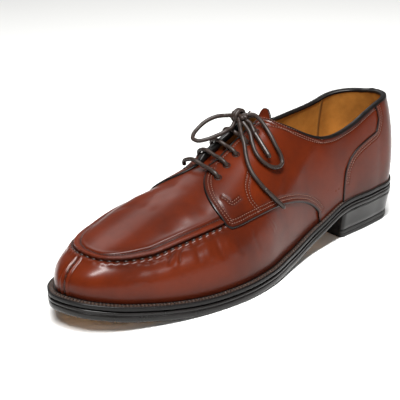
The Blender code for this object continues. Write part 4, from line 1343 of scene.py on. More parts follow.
    def binding(self) -> None:
        """The black rolled edge round the collar and down both facings."""
        stations = np.r_[np.linspace(0, 1.40, 150), Line(self.last, FACING_ROWS).spaced(MARK_STEP).station]
        side = np.r_[np.full(len(stations), INNER), np.full(len(stations) - 1, OUTER)]
        station = np.r_[stations[::-1], stations[1:]]
        rise = opening_rise(self.last, station, side)
        middle = (self.quarter_lift - self.lining_depth) / 2
        places = Places.at(side, station, rise, middle)
        centre = self.last.points(places)
        level = averaged(centre, 15)[:, 2]
        centre = averaged(centre, 3)
        centre[:, 2] += (level - centre[:, 2]) * smooth_step(1.0, 0.6, station)
        up = unit(averaged(self.last.normals(places), 4))
        out = unit(np.cross(np.gradient(centre, axis=0), up))
        if out[len(out) // 2, 2] < 0:
            out = -out
        far = np.where(side < 0, smooth_step(1.44, 1.50, station), 0.0)[:, None]
        half = (self.quarter_lift + self.lining_depth) / 2 + 0.0003
        back = self.counter_lift * smooth_step(1.35, 0.80, station)
        hoops = []
        for angle, drop in (
            (90, 0.0011), (84, 0.0), (62, 0), (35, 0), (0, 0), (-35, 0), (-62, 0), (-84, 0.0), (-90, 0.0011)
        ):
            turn = math.radians(angle)
            reach = half + np.where(angle > 0, back, 0)
            step = up * (reach * math.sin(turn))[:, None] * (1 + 0.35 * far)
            step = step + out * (half * (0.52 + 0.30 * far) * math.cos(turn) - drop * (1 + far))
            hoops.append(centre + step)
        net = np.stack(hoops)
        piece = new_object(
            "collar_binding", net.reshape(-1, 3), net_faces(len(hoops), len(centre)), [self.finishes["ink"]]
        )
        self.keep(piece)

    def lining(self) -> None:
        """The tan lining inside the quarters, darkened near the facings as painted shade."""
        stations = np.r_[np.linspace(0, 1.42, 110), np.linspace(1.43, 1.66, 22)]
        side = np.r_[np.full(len(stations), INNER), np.full(len(stations) - 1, OUTER)]
        station = np.r_[stations[::-1], stations[1:]]
        top = opening_rise(self.last, station, side) - 0.004
        rows = np.linspace(0.03, 1, 60)
        places = Places.at(side[None], station[None], rows[:, None] * top[None], -self.lining_depth)
        marks = []
        for sign in (OUTER, INNER):
            for shift in (0.0, 0.014):
                line = Line(
                    self.last,
                    ((0.93 + shift, 0.02), (0.90 + shift, 0.2), (0.865 + shift, 0.38), (0.84 + shift, 0.7)),
                    sign,
                )
                marks.append(
                    Mark(
                        self.last.points(line.spaced(MARK_STEP, -self.lining_depth)), 0.0008, -0.00035, 0.9
                    )
                )
            # The lining darkened within about 10 mm of the facing edge: painted shade inside the throat
            facing = Line(self.last, FACING_ROWS, sign).spaced(MARK_STEP, -self.lining_depth)
            marks.append(Mark(self.last.points(facing), 0.0100, 0.0, 1.0))
        piece = Leather(self.last, "quarter_lining", places, marks, rim=False)
        self.keep(piece.build([self.finishes["lining"]]))

    def vamp_lining(self) -> None:
        """The lining inside the toe, which closes the view into the shoe."""
        side, station = self.both_sides(np.linspace(1.70, 3.0, 60))
        rows = np.linspace(0.03, 1, 24)
        places = Places.at(side[None], station[None], rows[:, None], -self.wall)
        self.keep(
            Leather(self.last, "vamp_lining", places, (), rim=False).build(
                [self.finishes["lining"]], weld=True
            )
        )

    def hand_sewing(self) -> None:
        """The hand stitches of the apron and the rows beside the split toe."""
        side, station = self.both_sides(np.linspace(1.765, 3.0, 240))
        low = Places.at(side, station, table_curve(APRON_ROWS, 1)(station))
        parts = []
        for sign in (OUTER, INNER):
            which = np.flatnonzero(low.side == sign)
            if sign == INNER:
                which = which[::-1]
            line = Places(low.side[which], low.station[which], low.rise[which], low.lift[which])
            over, under = beside(self.last, line, 0.0012)
            if under.rise.mean() > over.rise.mean():
                under, over = over, under
            parts.append(sewn(self.last, under, Thread.HAND, 0.00105))
            channel = [shifted(self.last, line, k * 0.0045) for k in (-1, 1)]
            row = max(channel, key=lambda p: p.rise.mean())
            parts.append(sewn(self.last, row, Thread.FINE, -0.00010))
        toe = self.toe_line().spaced(STITCH_STEP)
        parts.append(sewn(self.last, toe, Thread.WELT, 0.00005))
        self.keep(new_object("apron_stitching", *joined(parts), [self.finishes["hand_thread"]]))

    def build(self) -> None:
        """Every piece of the upper."""
        for make in (
            self.vamp,
            self.plug,
            self.counter,
            self.binding,
            self.lining,
            self.vamp_lining,
            self.hand_sewing,
        ):
            make()
            LOG.info("upper: %s done", make.__name__)
        for side in (OUTER, INNER):
            self.quarter(side)


TONGUE_ROWS = (
    (1.715, 0.880), (1.690, 0.850), (1.620, 0.820), (1.540, 0.805), (1.460, 0.800), (1.425, 0.810),
    (1.400, 0.845), (1.388, 0.890),
)


@dataclass
class Tongue:
    """The tongue under the facings, with its free top rounded over."""

    last: Last
    finishes: dict
    rise: float = 0.0030
    free: float = 1.412
    drop: float = 0.0034
    thickness: float = 0.0024

    def build(self) -> None:
        """The tongue as one sheet with a turned edge."""
        line = Line(self.last, TONGUE_ROWS).spaced(STITCH_STEP)
        across = np.linspace(-1, 1, 61)
        side = np.where(across < 0, INNER, OUTER)
        way = np.linspace(0, 1, len(line.station))
        narrow = 1 - 0.62 * np.clip((way - 0.86) / 0.14, 0, 1) ** 2.5
        rise = 1 - ((1 - line.rise) * narrow)[:, None] * np.abs(across)[None]
        lift = self.rise * smooth_step(self.free, TONGUE_ROWS[-1][0], line.station) - self.drop
        places = Places.at(side[None], line.station[:, None], rise, lift[:, None])
        # Folds across the tongue, every one darkened: painted shade on the tongue between the facings
        folds = []
        for station, height in (
            (1.66, -0.0005), (1.61, 0.0005), (1.56, -0.0004), (1.50, 0.0004), (1.45, -0.0004)
        ):
            row = self.last.points(
                Places.at(OUTER, [station, station + 0.006, station], [0.86, 0.93, 1.0], -self.drop), False
            )
            folds.append(Mark(smooth_path(row, 0.002), 0.003, height, 0.2))
        piece = Leather(
            self.last, "tongue_leather", places, folds, self.thickness, 0.0009, 0.0008, slack=False
        )
        made = piece.build([self.finishes["calf"], self.finishes["ink"]])
        keep(made, "upper_leather", "tongue")


@dataclass
class Bottom:
    """Welt, outsole, heel stack, top lift and sock, all from the outline of the last."""

    last: Last
    finishes: dict
    breast: float = 0.0745
    breast_curve: float = 0.0025
    taper: float = 0.0034
    waist: float = 0.0008
    top_lift: float = 0.0062
    count: int = 1900

    def walk(self, count: int, until: float = 3.0) -> tuple[Array, Array]:
        """Places round the outline: from the back along the outer side and home along the inner.

        Args:
            count: how many points.
            until: the station where the walk ends.

        Returns:
            Sides and stations.
        """
        found = []
        for side in (OUTER, INNER):
            fine = np.linspace(0, until, 900)
            edge, _ = self.last.edge(side, fine)
            runs = runs_along(edge)
            found.append(np.interp(np.linspace(0, runs[-1], count // 2 + 1), runs, fine))
        outer, inner = found
        side = np.r_[np.full(len(outer), OUTER), np.full(len(inner) - 2, INNER)]
        return side, np.r_[outer, inner[::-1][1:-1]]

    def hoop(self, side: Array, station: Array, inset: Array) -> Array:
        """The outline moved in by an inset, as x and y from the back of the heel.

        Args:
            side: OUTER or INNER.
            station: stations along the last, 0 to 3.
            inset: how far inside the outline.

        Returns:
            Points in plan.
        """
        inset = np.broadcast_to(inset, station.shape)
        found = np.zeros((len(station), 2))
        for sign in (OUTER, INNER):
            which = side == sign
            found[which] = self.last.edge(sign, station[which], inset[which])[0]
        return found

    def place(self, flat: Array, height: Array) -> Array:
        """Points of the shoe's own frame from a flat outline and its heights.

        Args:
            flat: points in plan.
            height: their heights.

        Returns:
            Points in the shoe's frame.
        """
        return np.column_stack(
            [flat[:, 0] - self.last.heel_centre, flat[:, 1], np.broadcast_to(height, len(flat))]
        )

    def welt(self) -> None:
        """The welt: wheeled teeth on its upper side, a rounded edge, and the stitches round the forefoot."""
        side, station = self.walk(self.count)
        edge = self.hoop(side, station, 0.0)
        step = np.linalg.norm(np.diff(edge, axis=0, append=edge[:1]), axis=1)
        run = np.r_[0, np.cumsum(step)[:-1]]
        pitch = run[-1] / round(run[-1] / 0.0024)
        tooth = np.abs(np.cos(run / pitch * math.pi)) ** 0.6
        width = np.where(side > 0, self.last.welt_at(OUTER, station), self.last.welt_at(INNER, station))
        top = self.last.welt_top(edge[:, 0])
        low = top - self.last.welt
        rows = (
            (1.70, 1.0, 0.0, 0.0),
            (1.02, 1.0, -0.0002, 0.0),
            (0.90, 1.0, -0.0004, 0.0),
            (0.80, 1.0, 0.0, 0.5),
            (0.66, 1.0, 0.0002, 1.0),
            (0.40, 1.0, 0.0002, 1.0),
            (0.26, 1.0, 0.0, 0.6),
            (0.18, 1.0, -0.0004, 0.0),
            (0.12, 1.0, -0.0002, 0.0),
            (0.05, 0.95, 0.0, 0.0),
            (0.00, 0.78, 0.0, 0.0),
            (0.00, 0.42, 0.0, 0.0),
            (0.03, 0.22, 0.0, 0.0),
            (0.14, 0.10, 0.0, 0.0),
            (0.20, 0.00, 0.0, 0.0),
            (1.70, 0.00, 0.0, 0.0),
        )
        hoops, tones = [], []
        for inset, share, extra, toothed in rows:
            flat = self.hoop(side, station, inset * width)
            height = low + share * self.last.welt + extra - toothed * 0.00085 * (1 - tooth)
            hoops.append(self.place(flat, height))
            tones.append(np.clip(1.0 - toothed * tooth * 0.9, 0, 1) * np.ones(len(flat)))
        faces = hoops_faces(len(hoops), len(station))
        piece = new_object(
            "welt_strip",
            np.concatenate(hoops),
            faces[:, ::-1],
            [self.finishes["welt"]],
            None,
            np.concatenate(tones),
        )
        keep(piece, "welt_leather", "welt")
        front = (station > 1.25) & (run > 0)
        parts = []
        for sign in (OUTER, INNER):
            which = np.flatnonzero(front & (side == sign))
            flat = self.hoop(side, station, 0.53 * width)[which]
            points = self.place(flat, (top + 0.00015)[which])
            parts.append(
                stitches(
                    points, np.tile((0.0, 0.0, 1.0), (len(points), 1)), *Thread.WELT.value, stand=0.0004
                )
            )
        keep(new_object("welt_stitching", *joined(parts), [self.finishes["hand_thread"]]), "welt_leather")

    def outsole(self) -> None:
        """The outsole: inked edge with a fine groove, and its natural leather underside."""
        side, station = self.walk(720)
        edge = self.hoop(side, station, 0.0)
        low, top = self.last.sole_bottom(edge[:, 0]), self.last.sole_top(edge[:, 0])
        rows = (
            (0.0100, -0.0),
            (0.0022, 0.00),
            (0.0012, 0.015),
            (0.0005, 0.07),
            (0.0001, 0.18),
            (0.0000, 0.34),
            (0.0000, 0.60),
            (0.00025, 0.645),
            (0.00055, 0.69),
            (0.00025, 0.735),
            (0.0000, 0.78),
            (0.0000, 0.90),
            (0.0004, 0.97),
            (0.0020, 1.00),
            (0.0100, 1.00),
        )
        hoops = [
            self.place(self.hoop(side, station, inset), low + share * (top - low)) for inset, share in rows
        ]
        faces = hoops_faces(len(hoops), len(station))
        keep(
            new_object("outsole_edge", np.concatenate(hoops), faces, [self.finishes["edge"]]),
            "sole_leather",
            "outsole",
        )
        self.underside()

    def underside(self) -> None:
        """The sole's natural leather, side to side, with its inked border."""
        half = self.walk(720)[1][:361]
        outer = self.last.edge(OUTER, half, np.full(len(half), 0.0060))[0]
        inner = self.last.edge(INNER, half, np.full(len(half), 0.0060))[0]
        shares = np.linspace(0, 1, 31)[:, None, None]
        flat = outer[None] + (inner - outer)[None] * shares
        height = self.last.sole_bottom(flat[..., 0]) - 0.0001
        points = np.concatenate([flat - (self.last.heel_centre, 0.0), height[..., None]], -1)
        piece = new_object(
            "sole_leather", points.reshape(-1, 3), net_faces(31, len(half)), [self.finishes["sole"]]
        )
        keep(piece, "sole_leather")

    def heel_hoop(self, share: float, count: int, extra: float = 0.0) -> Array:
        """One hoop of the heel at a share of its height, closed along the breast.

        Args:
            share: which hoop, as a share of the height of the heel.
            count: how many points.
            extra: how much further in it stands.

        Returns:
            Points in the shoe's frame.
        """
        s = 1 - share
        inset = self.taper * s + self.waist * 4 * s * (1 - s) + extra
        reach = self.breast - inset * 0.3
        fine = np.linspace(0, 1.4, 400)
        found = []
        for side in (OUTER, INNER):
            edge = self.last.edge(side, fine, np.full(len(fine), inset))[0]
            stop = int(np.argmax(edge[:, 0] > reach))
            part = (reach - edge[stop - 1, 0]) / (edge[stop, 0] - edge[stop - 1, 0])
            rows = np.r_[edge[:stop], [edge[stop - 1] + part * (edge[stop] - edge[stop - 1])]]
            runs = runs_along(rows)
            at = np.linspace(0, runs[-1], count)
            found.append(along_path(rows, at))
        outer, inner = found
        shares = np.linspace(0, 1, 26)[1:-1, None]
        line = outer[-1] + (inner[-1] - outer[-1]) * shares
        line[:, 0] -= self.breast_curve * (1 - (2 * shares[:, 0] - 1) ** 2)
        flat = np.r_[outer, line, inner[::-1][:-1]]
        ring = np.r_[flat, flat[:1]]
        runs = runs_along(ring)
        at = np.linspace(0, runs[-1], 321)[:-1]
        flat = along_path(ring, at)
        soft = sum(np.roll(flat, k, 0) for k in range(-5, 6)) / 11
        corner = np.minimum(*(np.linalg.norm(flat - end[-1], axis=1) for end in (outer, inner)))
        near = smooth_step(0.008, 0.004, corner)[:, None]
        flat = flat + (soft - flat) * near
        return self.place(flat, share * self.last.sole_bottom(flat[:, 0]))

    def heel(self) -> None:
        """The stacked heel with its lift lines, and the rubber top lift."""
        line = self.top_lift / self.last.heel_height
        rows = [
            (line + 0.004, 0.0003), (line + 0.020, 0.0), (0.45, 0.0), (0.60, 0.0), (0.75, 0.0), (0.90, 0.0)
        ]
        rows += [(0.955, 0.0), (0.97, 0.0003), (1.0, 0.0003)]
        tread = [(0.0, 0.0022), (0.004, 0.0010), (0.02, 0.0003), (0.05, 0.0), (0.135, 0.0), (0.15, 0.00025)]
        tread += [(0.165, 0.0), (line - 0.03, 0.0), (line - 0.008, 0.0003)]
        for name, rings, finish, slot, node in (
            ("heel_lifts", rows, "heel", "sole_leather", "heel_stack"),
            ("rubber_lift", tread, "rubber", "lift_rubber", "top_lift"),
        ):
            hoops = [self.heel_hoop(share, 90, extra) for share, extra in rings]
            count = len(hoops[0])
            faces = hoops_faces(len(hoops), count).tolist()
            end = (len(hoops) - 1) * count
            faces += [list(range(count))[::-1], [end + k for k in range(count)]]
            piece = new_object(name, np.concatenate(hoops), faces, [self.finishes[finish]])
            piece.data.set_sharp_from_angle(angle=math.radians(40))
            keep(piece, slot, node)

    def sock(self) -> None:
        """The sock that covers the insole inside the shoe."""
        half = self.walk(360)[1][:181]
        width = [self.last.welt_at(side, half) + 0.0022 for side in (OUTER, INNER)]
        outer = self.last.edge(OUTER, half, width[0])[0]
        inner = self.last.edge(INNER, half, width[1])[0]
        shares = np.linspace(0, 1, 21)[:, None, None]
        flat = outer[None] + (inner - outer)[None] * shares
        dish = 0.0012 * (2 * shares[..., 0] - 1) ** 2
        height = self.last.welt_top(flat[..., 0]) + 0.0004 + dish
        points = np.concatenate([flat - (self.last.heel_centre, 0.0), height[..., None]], -1)
        piece = new_object(
            "sock", points.reshape(-1, 3), net_faces(21, len(half))[:, ::-1], [self.finishes["lining"]]
        )
        keep(piece, "insole_leather", "insole")

    def build(self) -> None:
        """Every piece under the upper."""
        for make in (self.welt, self.outsole, self.heel, self.sock):
            make()
            LOG.info("bottom: %s done", make.__name__)


LEFT_LOOP = (
    (INNER, 1.503, 0.930, 4.60), (INNER, 1.530, 0.905, 5.90), (INNER, 1.560, 0.880, 6.40),
    (INNER, 1.592, 0.862, 6.20), (INNER, 1.618, 0.868, 5.80), (INNER, 1.632, 0.890, 5.30),
    (INNER, 1.630, 0.925, 4.60), (INNER, 1.612, 0.955, 4.00), (INNER, 1.585, 0.985, 3.50),
    (OUTER, 1.550, 0.990, 3.10), (OUTER, 1.522, 0.985, 2.90),
)
RIGHT_LOOP = (
    (OUTER, 1.452, 0.925, 2.60), (OUTER, 1.448, 0.860, 1.60), (OUTER, 1.450, 0.780, 1.00),
    (OUTER, 1.454, 0.700, 0.90), (OUTER, 1.457, 0.625, 0.80), (OUTER, 1.457, 0.551, 0.80),
    (OUTER, 1.463, 0.511, 0.80), (OUTER, 1.480, 0.506, 0.80), (OUTER, 1.500, 0.528, 0.80),
    (OUTER, 1.519, 0.572, 0.80), (OUTER, 1.531, 0.636, 0.80), (OUTER, 1.531, 0.715, 0.90),
    (OUTER, 1.521, 0.780, 1.30), (OUTER, 1.505, 0.850, 2.00),
)
LONG_END = (
    (OUTER, 1.530, 0.880, 2.90), (OUTER, 1.552, 0.800, 2.40), (OUTER, 1.570, 0.740, 1.60),
    (OUTER, 1.582, 0.670, 1.00), (OUTER, 1.586, 0.600, 0.80), (OUTER, 1.582, 0.535, 0.80),
    (OUTER, 1.575, 0.479, 0.80),
)
LONG_TIP = ((OUTER, 1.574, 0.474, 0.90), (OUTER, 1.529, 0.319, 0.90))
SHORT_END = ((OUTER, 1.480, 0.900, 2.20), (OUTER, 1.484, 0.870, 1.70), (OUTER, 1.490, 0.830, 1.30))
SHORT_TIP = ((OUTER, 1.491, 0.822, 1.25), (OUTER, 1.500, 0.680, 1.10))


@dataclass
class Lacing:
    """The waxed lace: bars through the eyelets, and a bow with two loops and two ends."""

    last: Last
    finishes: dict
    diameter: float = 0.0028
    quarter_lift: float = 0.0013
    bar_height: float = 0.80
    knot_station: float = 1.487
    knot_size: tuple[float, float, float] = (0.0125, 0.0105, 0.0080)
    tip_length: float = 0.0200
    tip_width: float = 0.0032
    step: float = 0.0008

    def route(self, rows: Sequence[tuple[float, float, float, float]]) -> Array:
        """The points of a route whose heights are in lace diameters.

        Args:
            rows: side, station, rise and height in diameters of each point.

        Returns:
            The points.
        """
        side, station, rise, height = np.array(rows).T
        places = Places.at(side, station, rise, self.quarter_lift + height * self.diameter)
        return self.last.points(places, slack=False)

    def knot_axes(self) -> tuple[Array, Array, Array, Array]:
        """The knot's centre and its directions across, along and up.

        Returns:
            Its centre and its axes.
        """
        spot = Places.at([OUTER], [self.knot_station], [1.0])
        up = self.last.normals(spot)[0]
        top = self.quarter_lift + (self.bar_height + 0.5) * self.diameter + self.last.facing_lift
        across = np.array([0.0, 1.0, 0.0])
        along = np.cross(across, up)
        centre = self.last.points(spot)[0] + up * (top + 0.0005 + self.knot_size[2] / 2)
        return centre, across, along / np.linalg.norm(along), up

    def knot_exit(self, toward: Array) -> Array:
        """Where a cord that comes from a point leaves the knot.

        Args:
            toward: a point that the strand goes to.

        Returns:
            A point just outside the knot.
        """
        centre, *axes = self.knot_axes()
        way = toward - centre
        way /= np.linalg.norm(way)
        reach = 1 / math.sqrt(
            sum((way @ axis / (size / 2)) ** 2 for axis, size in zip(axes, self.knot_size))
        )
        return centre + way * (reach + 2 * self.last.gap)

    def tube(self, name: str, path: Array, slot: str, *nodes: str, slim: Array = 1.0) -> bpy.types.Object:
        """A stretch of the lace along a path."""
        piece = new_object(name, *sweep(path, slim * self.diameter / 2, 14), [self.finishes["lace"]])
        return keep(piece, slot, *nodes)

    def tip(self, name: str, start: Array, way: Array) -> bpy.types.Object:
        """The hard tip on the lace's end, crimped at its mouth and rounded at its point.

        Args:
            name: its name.
            start: where it begins.
            way: its direction.

        Returns:
            The piece.
        """
        shares = np.array([0.0, 0.02, 0.05, 0.10, 0.14, 0.30, 0.90, 0.97, 1.0])
        sizes = np.array([0.96, 1.03, 1.0, 0.93, 1.0, 1.0, 0.99, 0.86, 0.6])
        path = start + way * (shares * self.tip_length)[:, None]
        piece = new_object(name, *sweep(path, self.tip_width / 2 * sizes, 16), [self.finishes["tip"]])
        return keep(piece, "aglet_plastic", name.replace("tip", "aglet"))

    def bow(self) -> None:
        """The loops and the two ends with their tips."""
        for name, rows in (("left", LEFT_LOOP), ("right", RIGHT_LOOP)):
            through = self.route(rows)
            through = np.vstack([self.knot_exit(through[0]), through, self.knot_exit(through[-1])])
            path = smooth_path(through, self.step)
            piece = self.tube("loop_" + name, path, "waxed_cotton", "lace_loop_" + name)
            self.declare(piece, path, "object")
        for name, rows, tip in (("long", LONG_END, LONG_TIP), ("short", SHORT_END, SHORT_TIP)):
            through = self.route(rows)
            aim = self.route(tip)
            way = (aim[1] - through[-1]) / np.linalg.norm(aim[1] - through[-1])
            start = through[-1] + way * 0.0008
            path = smooth_path(np.vstack([self.knot_exit(through[0]), through]), self.step)
            inside = start + way * np.arange(0.0, self.tip_length, self.step)[:, None]
            slim = np.r_[np.ones(len(path)), np.full(len(inside), 0.62)]
            path = np.vstack([path, inside])
            piece = self.tube("end_" + name, path, "waxed_cotton", "lace_end_" + name, slim=slim)
            cap = self.tip("tip_" + name, start, way)
            self.declare(piece, path, "fitting", cap)

    def declare(self, piece: bpy.types.Object, path: Array, far_end: str, *caps: bpy.types.Object) -> None:
        """Say how long the cord is.

        Args:
            piece: the piece.
            path: its centre line.
            far_end: not used.
            caps: not used.
        """
        length = float(np.linalg.norm(np.diff(path, axis=0), axis=1).sum())
        LOG.info("%s: %.1f mm long", piece.name, length * 1000)

    def knot(self) -> None:
        """The knot: two strands that cross and the turn that holds them."""
        centre, across, along, up = self.knot_axes()
        parts = []
        radius = self.diameter / 2
        half_along, half_up = self.knot_size[1] / 2 - radius * 0.9, self.knot_size[2] / 2 - radius * 0.8
        for shift, lean in ((-0.0012, 0.25), (0.0014, -0.15)):
            angles = np.linspace(0, 2 * math.pi, 40)[:, None]
            path = (
                centre
                + across * (shift + lean * radius * np.sin(angles))
                + along * half_along * np.cos(angles)
                + up * half_up * np.sin(angles)
            )
            parts.append(sweep(path, radius, 14))
        for start, lift in ((0.35, 0.0006), (-0.35, -0.0008)):
            shares = np.linspace(-1, 1, 24)[:, None]
            path = (
                centre
                + across * (shares * (self.knot_size[0] / 2 - radius * 0.4))
                + along * (shares * start * half_along)
                + up * (lift - 0.0012 * shares**2)
            )
            parts.append(sweep(path, radius * 1.05, 14))
        for rows in (LEFT_LOOP, RIGHT_LOOP, LEFT_LOOP[::-1], RIGHT_LOOP[::-1], LONG_END, SHORT_END):
            end = self.knot_exit(self.route(rows)[0])
            shares = np.linspace(0.15, 0.97, 8)[:, None]
            parts.append(sweep(centre + (end - centre) * shares, radius, 14))
        piece = new_object("knot", *joined(parts), [self.finishes["lace"]])
        keep(piece, "waxed_cotton", "lace_knot")

    def bars(self) -> None:
        """The five bars, each diving into its eyelets."""
        lifted = self.last.facing_lift / self.diameter
        for number, (station, rise) in enumerate(EYELET_ROWS, 1):
            near = ((rise - 0.004, -0.25), (rise + 0.014, 0.42), ((rise + 0.94) / 2, 0.80), (0.94, 0.85))
            outer = [(OUTER, station, h, height) for h, height in near]
            inner = [(INNER, station, h, height + lifted) for h, height in near[::-1]]
            self.tube(
                "bar_%d" % number,
                smooth_path(self.route(outer + inner), self.step),
                "waxed_cotton",
                "lace_bar_%d" % number,
            )

    def eyelets(self) -> None:
        """The punched eyelets: a pressed rim and a black hollow, which is painted shade in the hole."""
        parts = []
        angles = np.arange(24) * math.pi / 12
        for side in (OUTER, INNER):
            for station, rise in EYELET_ROWS:
                spot = Places.at([side], [station], [rise], self.quarter_lift)
                centre, up = self.last.points(spot)[0], self.last.normals(spot)[0]
                across = unit(np.cross(up, (0.0, 0.0, 1.0)))
                other = np.cross(up, across)
                hoops = []
                # The inner hoops sink into a black dish: painted shade in the eyelet hole
                for radius, height in (
                    (0.0027, -0.0004),
                    (0.0025, 0.00005),
                    (0.0022, 0.0001),
                    (0.0019, -0.0002),
                    (0.0018, -0.0005),
                    (0.0004, -0.0005),
                ):
                    ring = np.cos(angles)[:, None] * across + np.sin(angles)[:, None] * other
                    hoops.append(centre + ring * radius + up * height)
                parts.append((np.concatenate(hoops), hoops_faces(len(hoops), 24)))
        piece = new_object("eyelet_rims", *joined(parts), [self.finishes["ink"]])
        keep(piece, "upper_leather")

    def build(self) -> None:
        """Every stretch of the lace."""
        for make in (self.bow, self.knot, self.bars, self.eyelets):
            make()
            LOG.info("lacing: %s done", make.__name__)


# Finishes


def linear(code: str) -> tuple[float, float, float, float]:
    """An sRGB hex colour as the linear colour that a shader takes."""
    parts = [int(code[k : k + 2], 16) / 255 for k in (1, 3, 5)]
    return (*(c / 12.92 if c <= 0.04045 else ((c + 0.055) / 1.055) ** 2.4 for c in parts), 1.0)


def add(tree: bpy.types.NodeTree, kind: str, settings: dict, links: dict) -> bpy.types.Node:
    """A node with its settings and links.

    Args:
        tree: the material's tree.
        kind: the node's type, without its prefix.
        settings: properties by name, and socket values by name or number.
        links: the output that feeds each socket, by name or number.

    Returns:
        The new node.
    """
    node = tree.nodes.new("ShaderNode" + kind)
    for key, value in settings.items():
        if isinstance(key, str) and hasattr(node, key):
            setattr(node, key, value)
        else:
            node.inputs[key].default_value = value
    for key, output in links.items():
        tree.links.new(output, node.inputs[key])
    return node


@dataclass(frozen=True)
class Finish:
    """A finish with its two main colours, the colour of its wear, seams and painted shade, and its gloss."""

    name: str
    body: str
    shade: str
    mark: str
    roughness: float
    rough_spread: float = 0.08
    grain_mm: float = 0.6
    grain_depth: float = 0.02
    mottle_mm: float = 12.0
    mottle: float = 0.5
    coat: float = 0.0
    coat_roughness: float = 0.2
    mark_strength: float = 1.0
    ior: float = 1.5
    specular: float = 0.5
    sheen: float = 0.0
    weave_mm: float = 0.0

    def make(self) -> bpy.types.Material:
        """The finish as a material.

        Returns:
            The material.
        """
        material = bpy.data.materials.new(self.name)
        material.use_nodes = True
        tree = material.node_tree
        tree.nodes.clear()
        place = add(tree, "TexCoord", {}, {}).outputs["Object"]
        cloud = add(
            tree,
            "TexNoise",
            {"Scale": 1000 / self.mottle_mm, "Detail": 5.0, "Roughness": 0.6},
            {"Vector": place},
        )
        share = add(tree, "MapRange", {1: 0.35, 2: 0.65, 3: 0.0, 4: self.mottle}, {0: cloud.outputs["Fac"]})
        body = add(
            tree,
            "Mix",
            {"data_type": "RGBA", 6: linear(self.body), 7: linear(self.shade)},
            {0: share.outputs[0]},
        )
        tone = add(tree, "Attribute", {"attribute_name": "tone"}, {})
        dark = add(tree, "Math", {"operation": "MULTIPLY", 1: self.mark_strength}, {0: tone.outputs["Fac"]})
        colour = add(
            tree,
            "Mix",
            {"data_type": "RGBA", 7: linear(self.mark)},
            {0: dark.outputs[0], 6: body.outputs[2]},
        )
        grain = add(tree, "TexVoronoi", {"Scale": 1000 / self.grain_mm}, {"Vector": place})
        pores = add(tree, "TexNoise", {"Scale": 2000 / self.grain_mm, "Detail": 3.0}, {"Vector": place})
        height = add(
            tree, "Math", {"operation": "ADD"}, {0: grain.outputs["Distance"], 1: pores.outputs["Fac"]}
        )
        if self.weave_mm:
            cross = [
                add(
                    tree,
                    "TexWave",
                    {
                        "wave_type": "BANDS",
                        "bands_direction": "DIAGONAL",
                        "Scale": 1000 / self.weave_mm / 6.28,
                        "Distortion": turn,
                    },
                    {"Vector": place},
                )
                for turn in (0.4, 0.9)
            ]
            height = add(
                tree, "Math", {"operation": "ADD"}, {0: cross[0].outputs["Fac"], 1: cross[1].outputs["Fac"]}
            )
        bump = add(
            tree,
            "Bump",
            {"Strength": 0.6, "Distance": self.grain_depth / 1000},
            {"Height": height.outputs[0]},
        )
        rough = add(
            tree,
            "MapRange",
            {1: 0.3, 2: 0.7, 3: self.roughness - self.rough_spread, 4: self.roughness + self.rough_spread},
            {0: cloud.outputs["Fac"]},
        )
        shader = add(
            tree,
            "BsdfPrincipled",
            {
                "IOR": self.ior,
                "Specular IOR Level": self.specular,
                "Coat Weight": self.coat,
                "Coat Roughness": self.coat_roughness,
                "Sheen Weight": self.sheen,
            },
            {
                "Base Color": colour.outputs[2],
                "Roughness": rough.outputs[0],
                "Normal": bump.outputs["Normal"],
            },
        )
        add(tree, "OutputMaterial", {}, {"Surface": shader.outputs[0]})
        return material


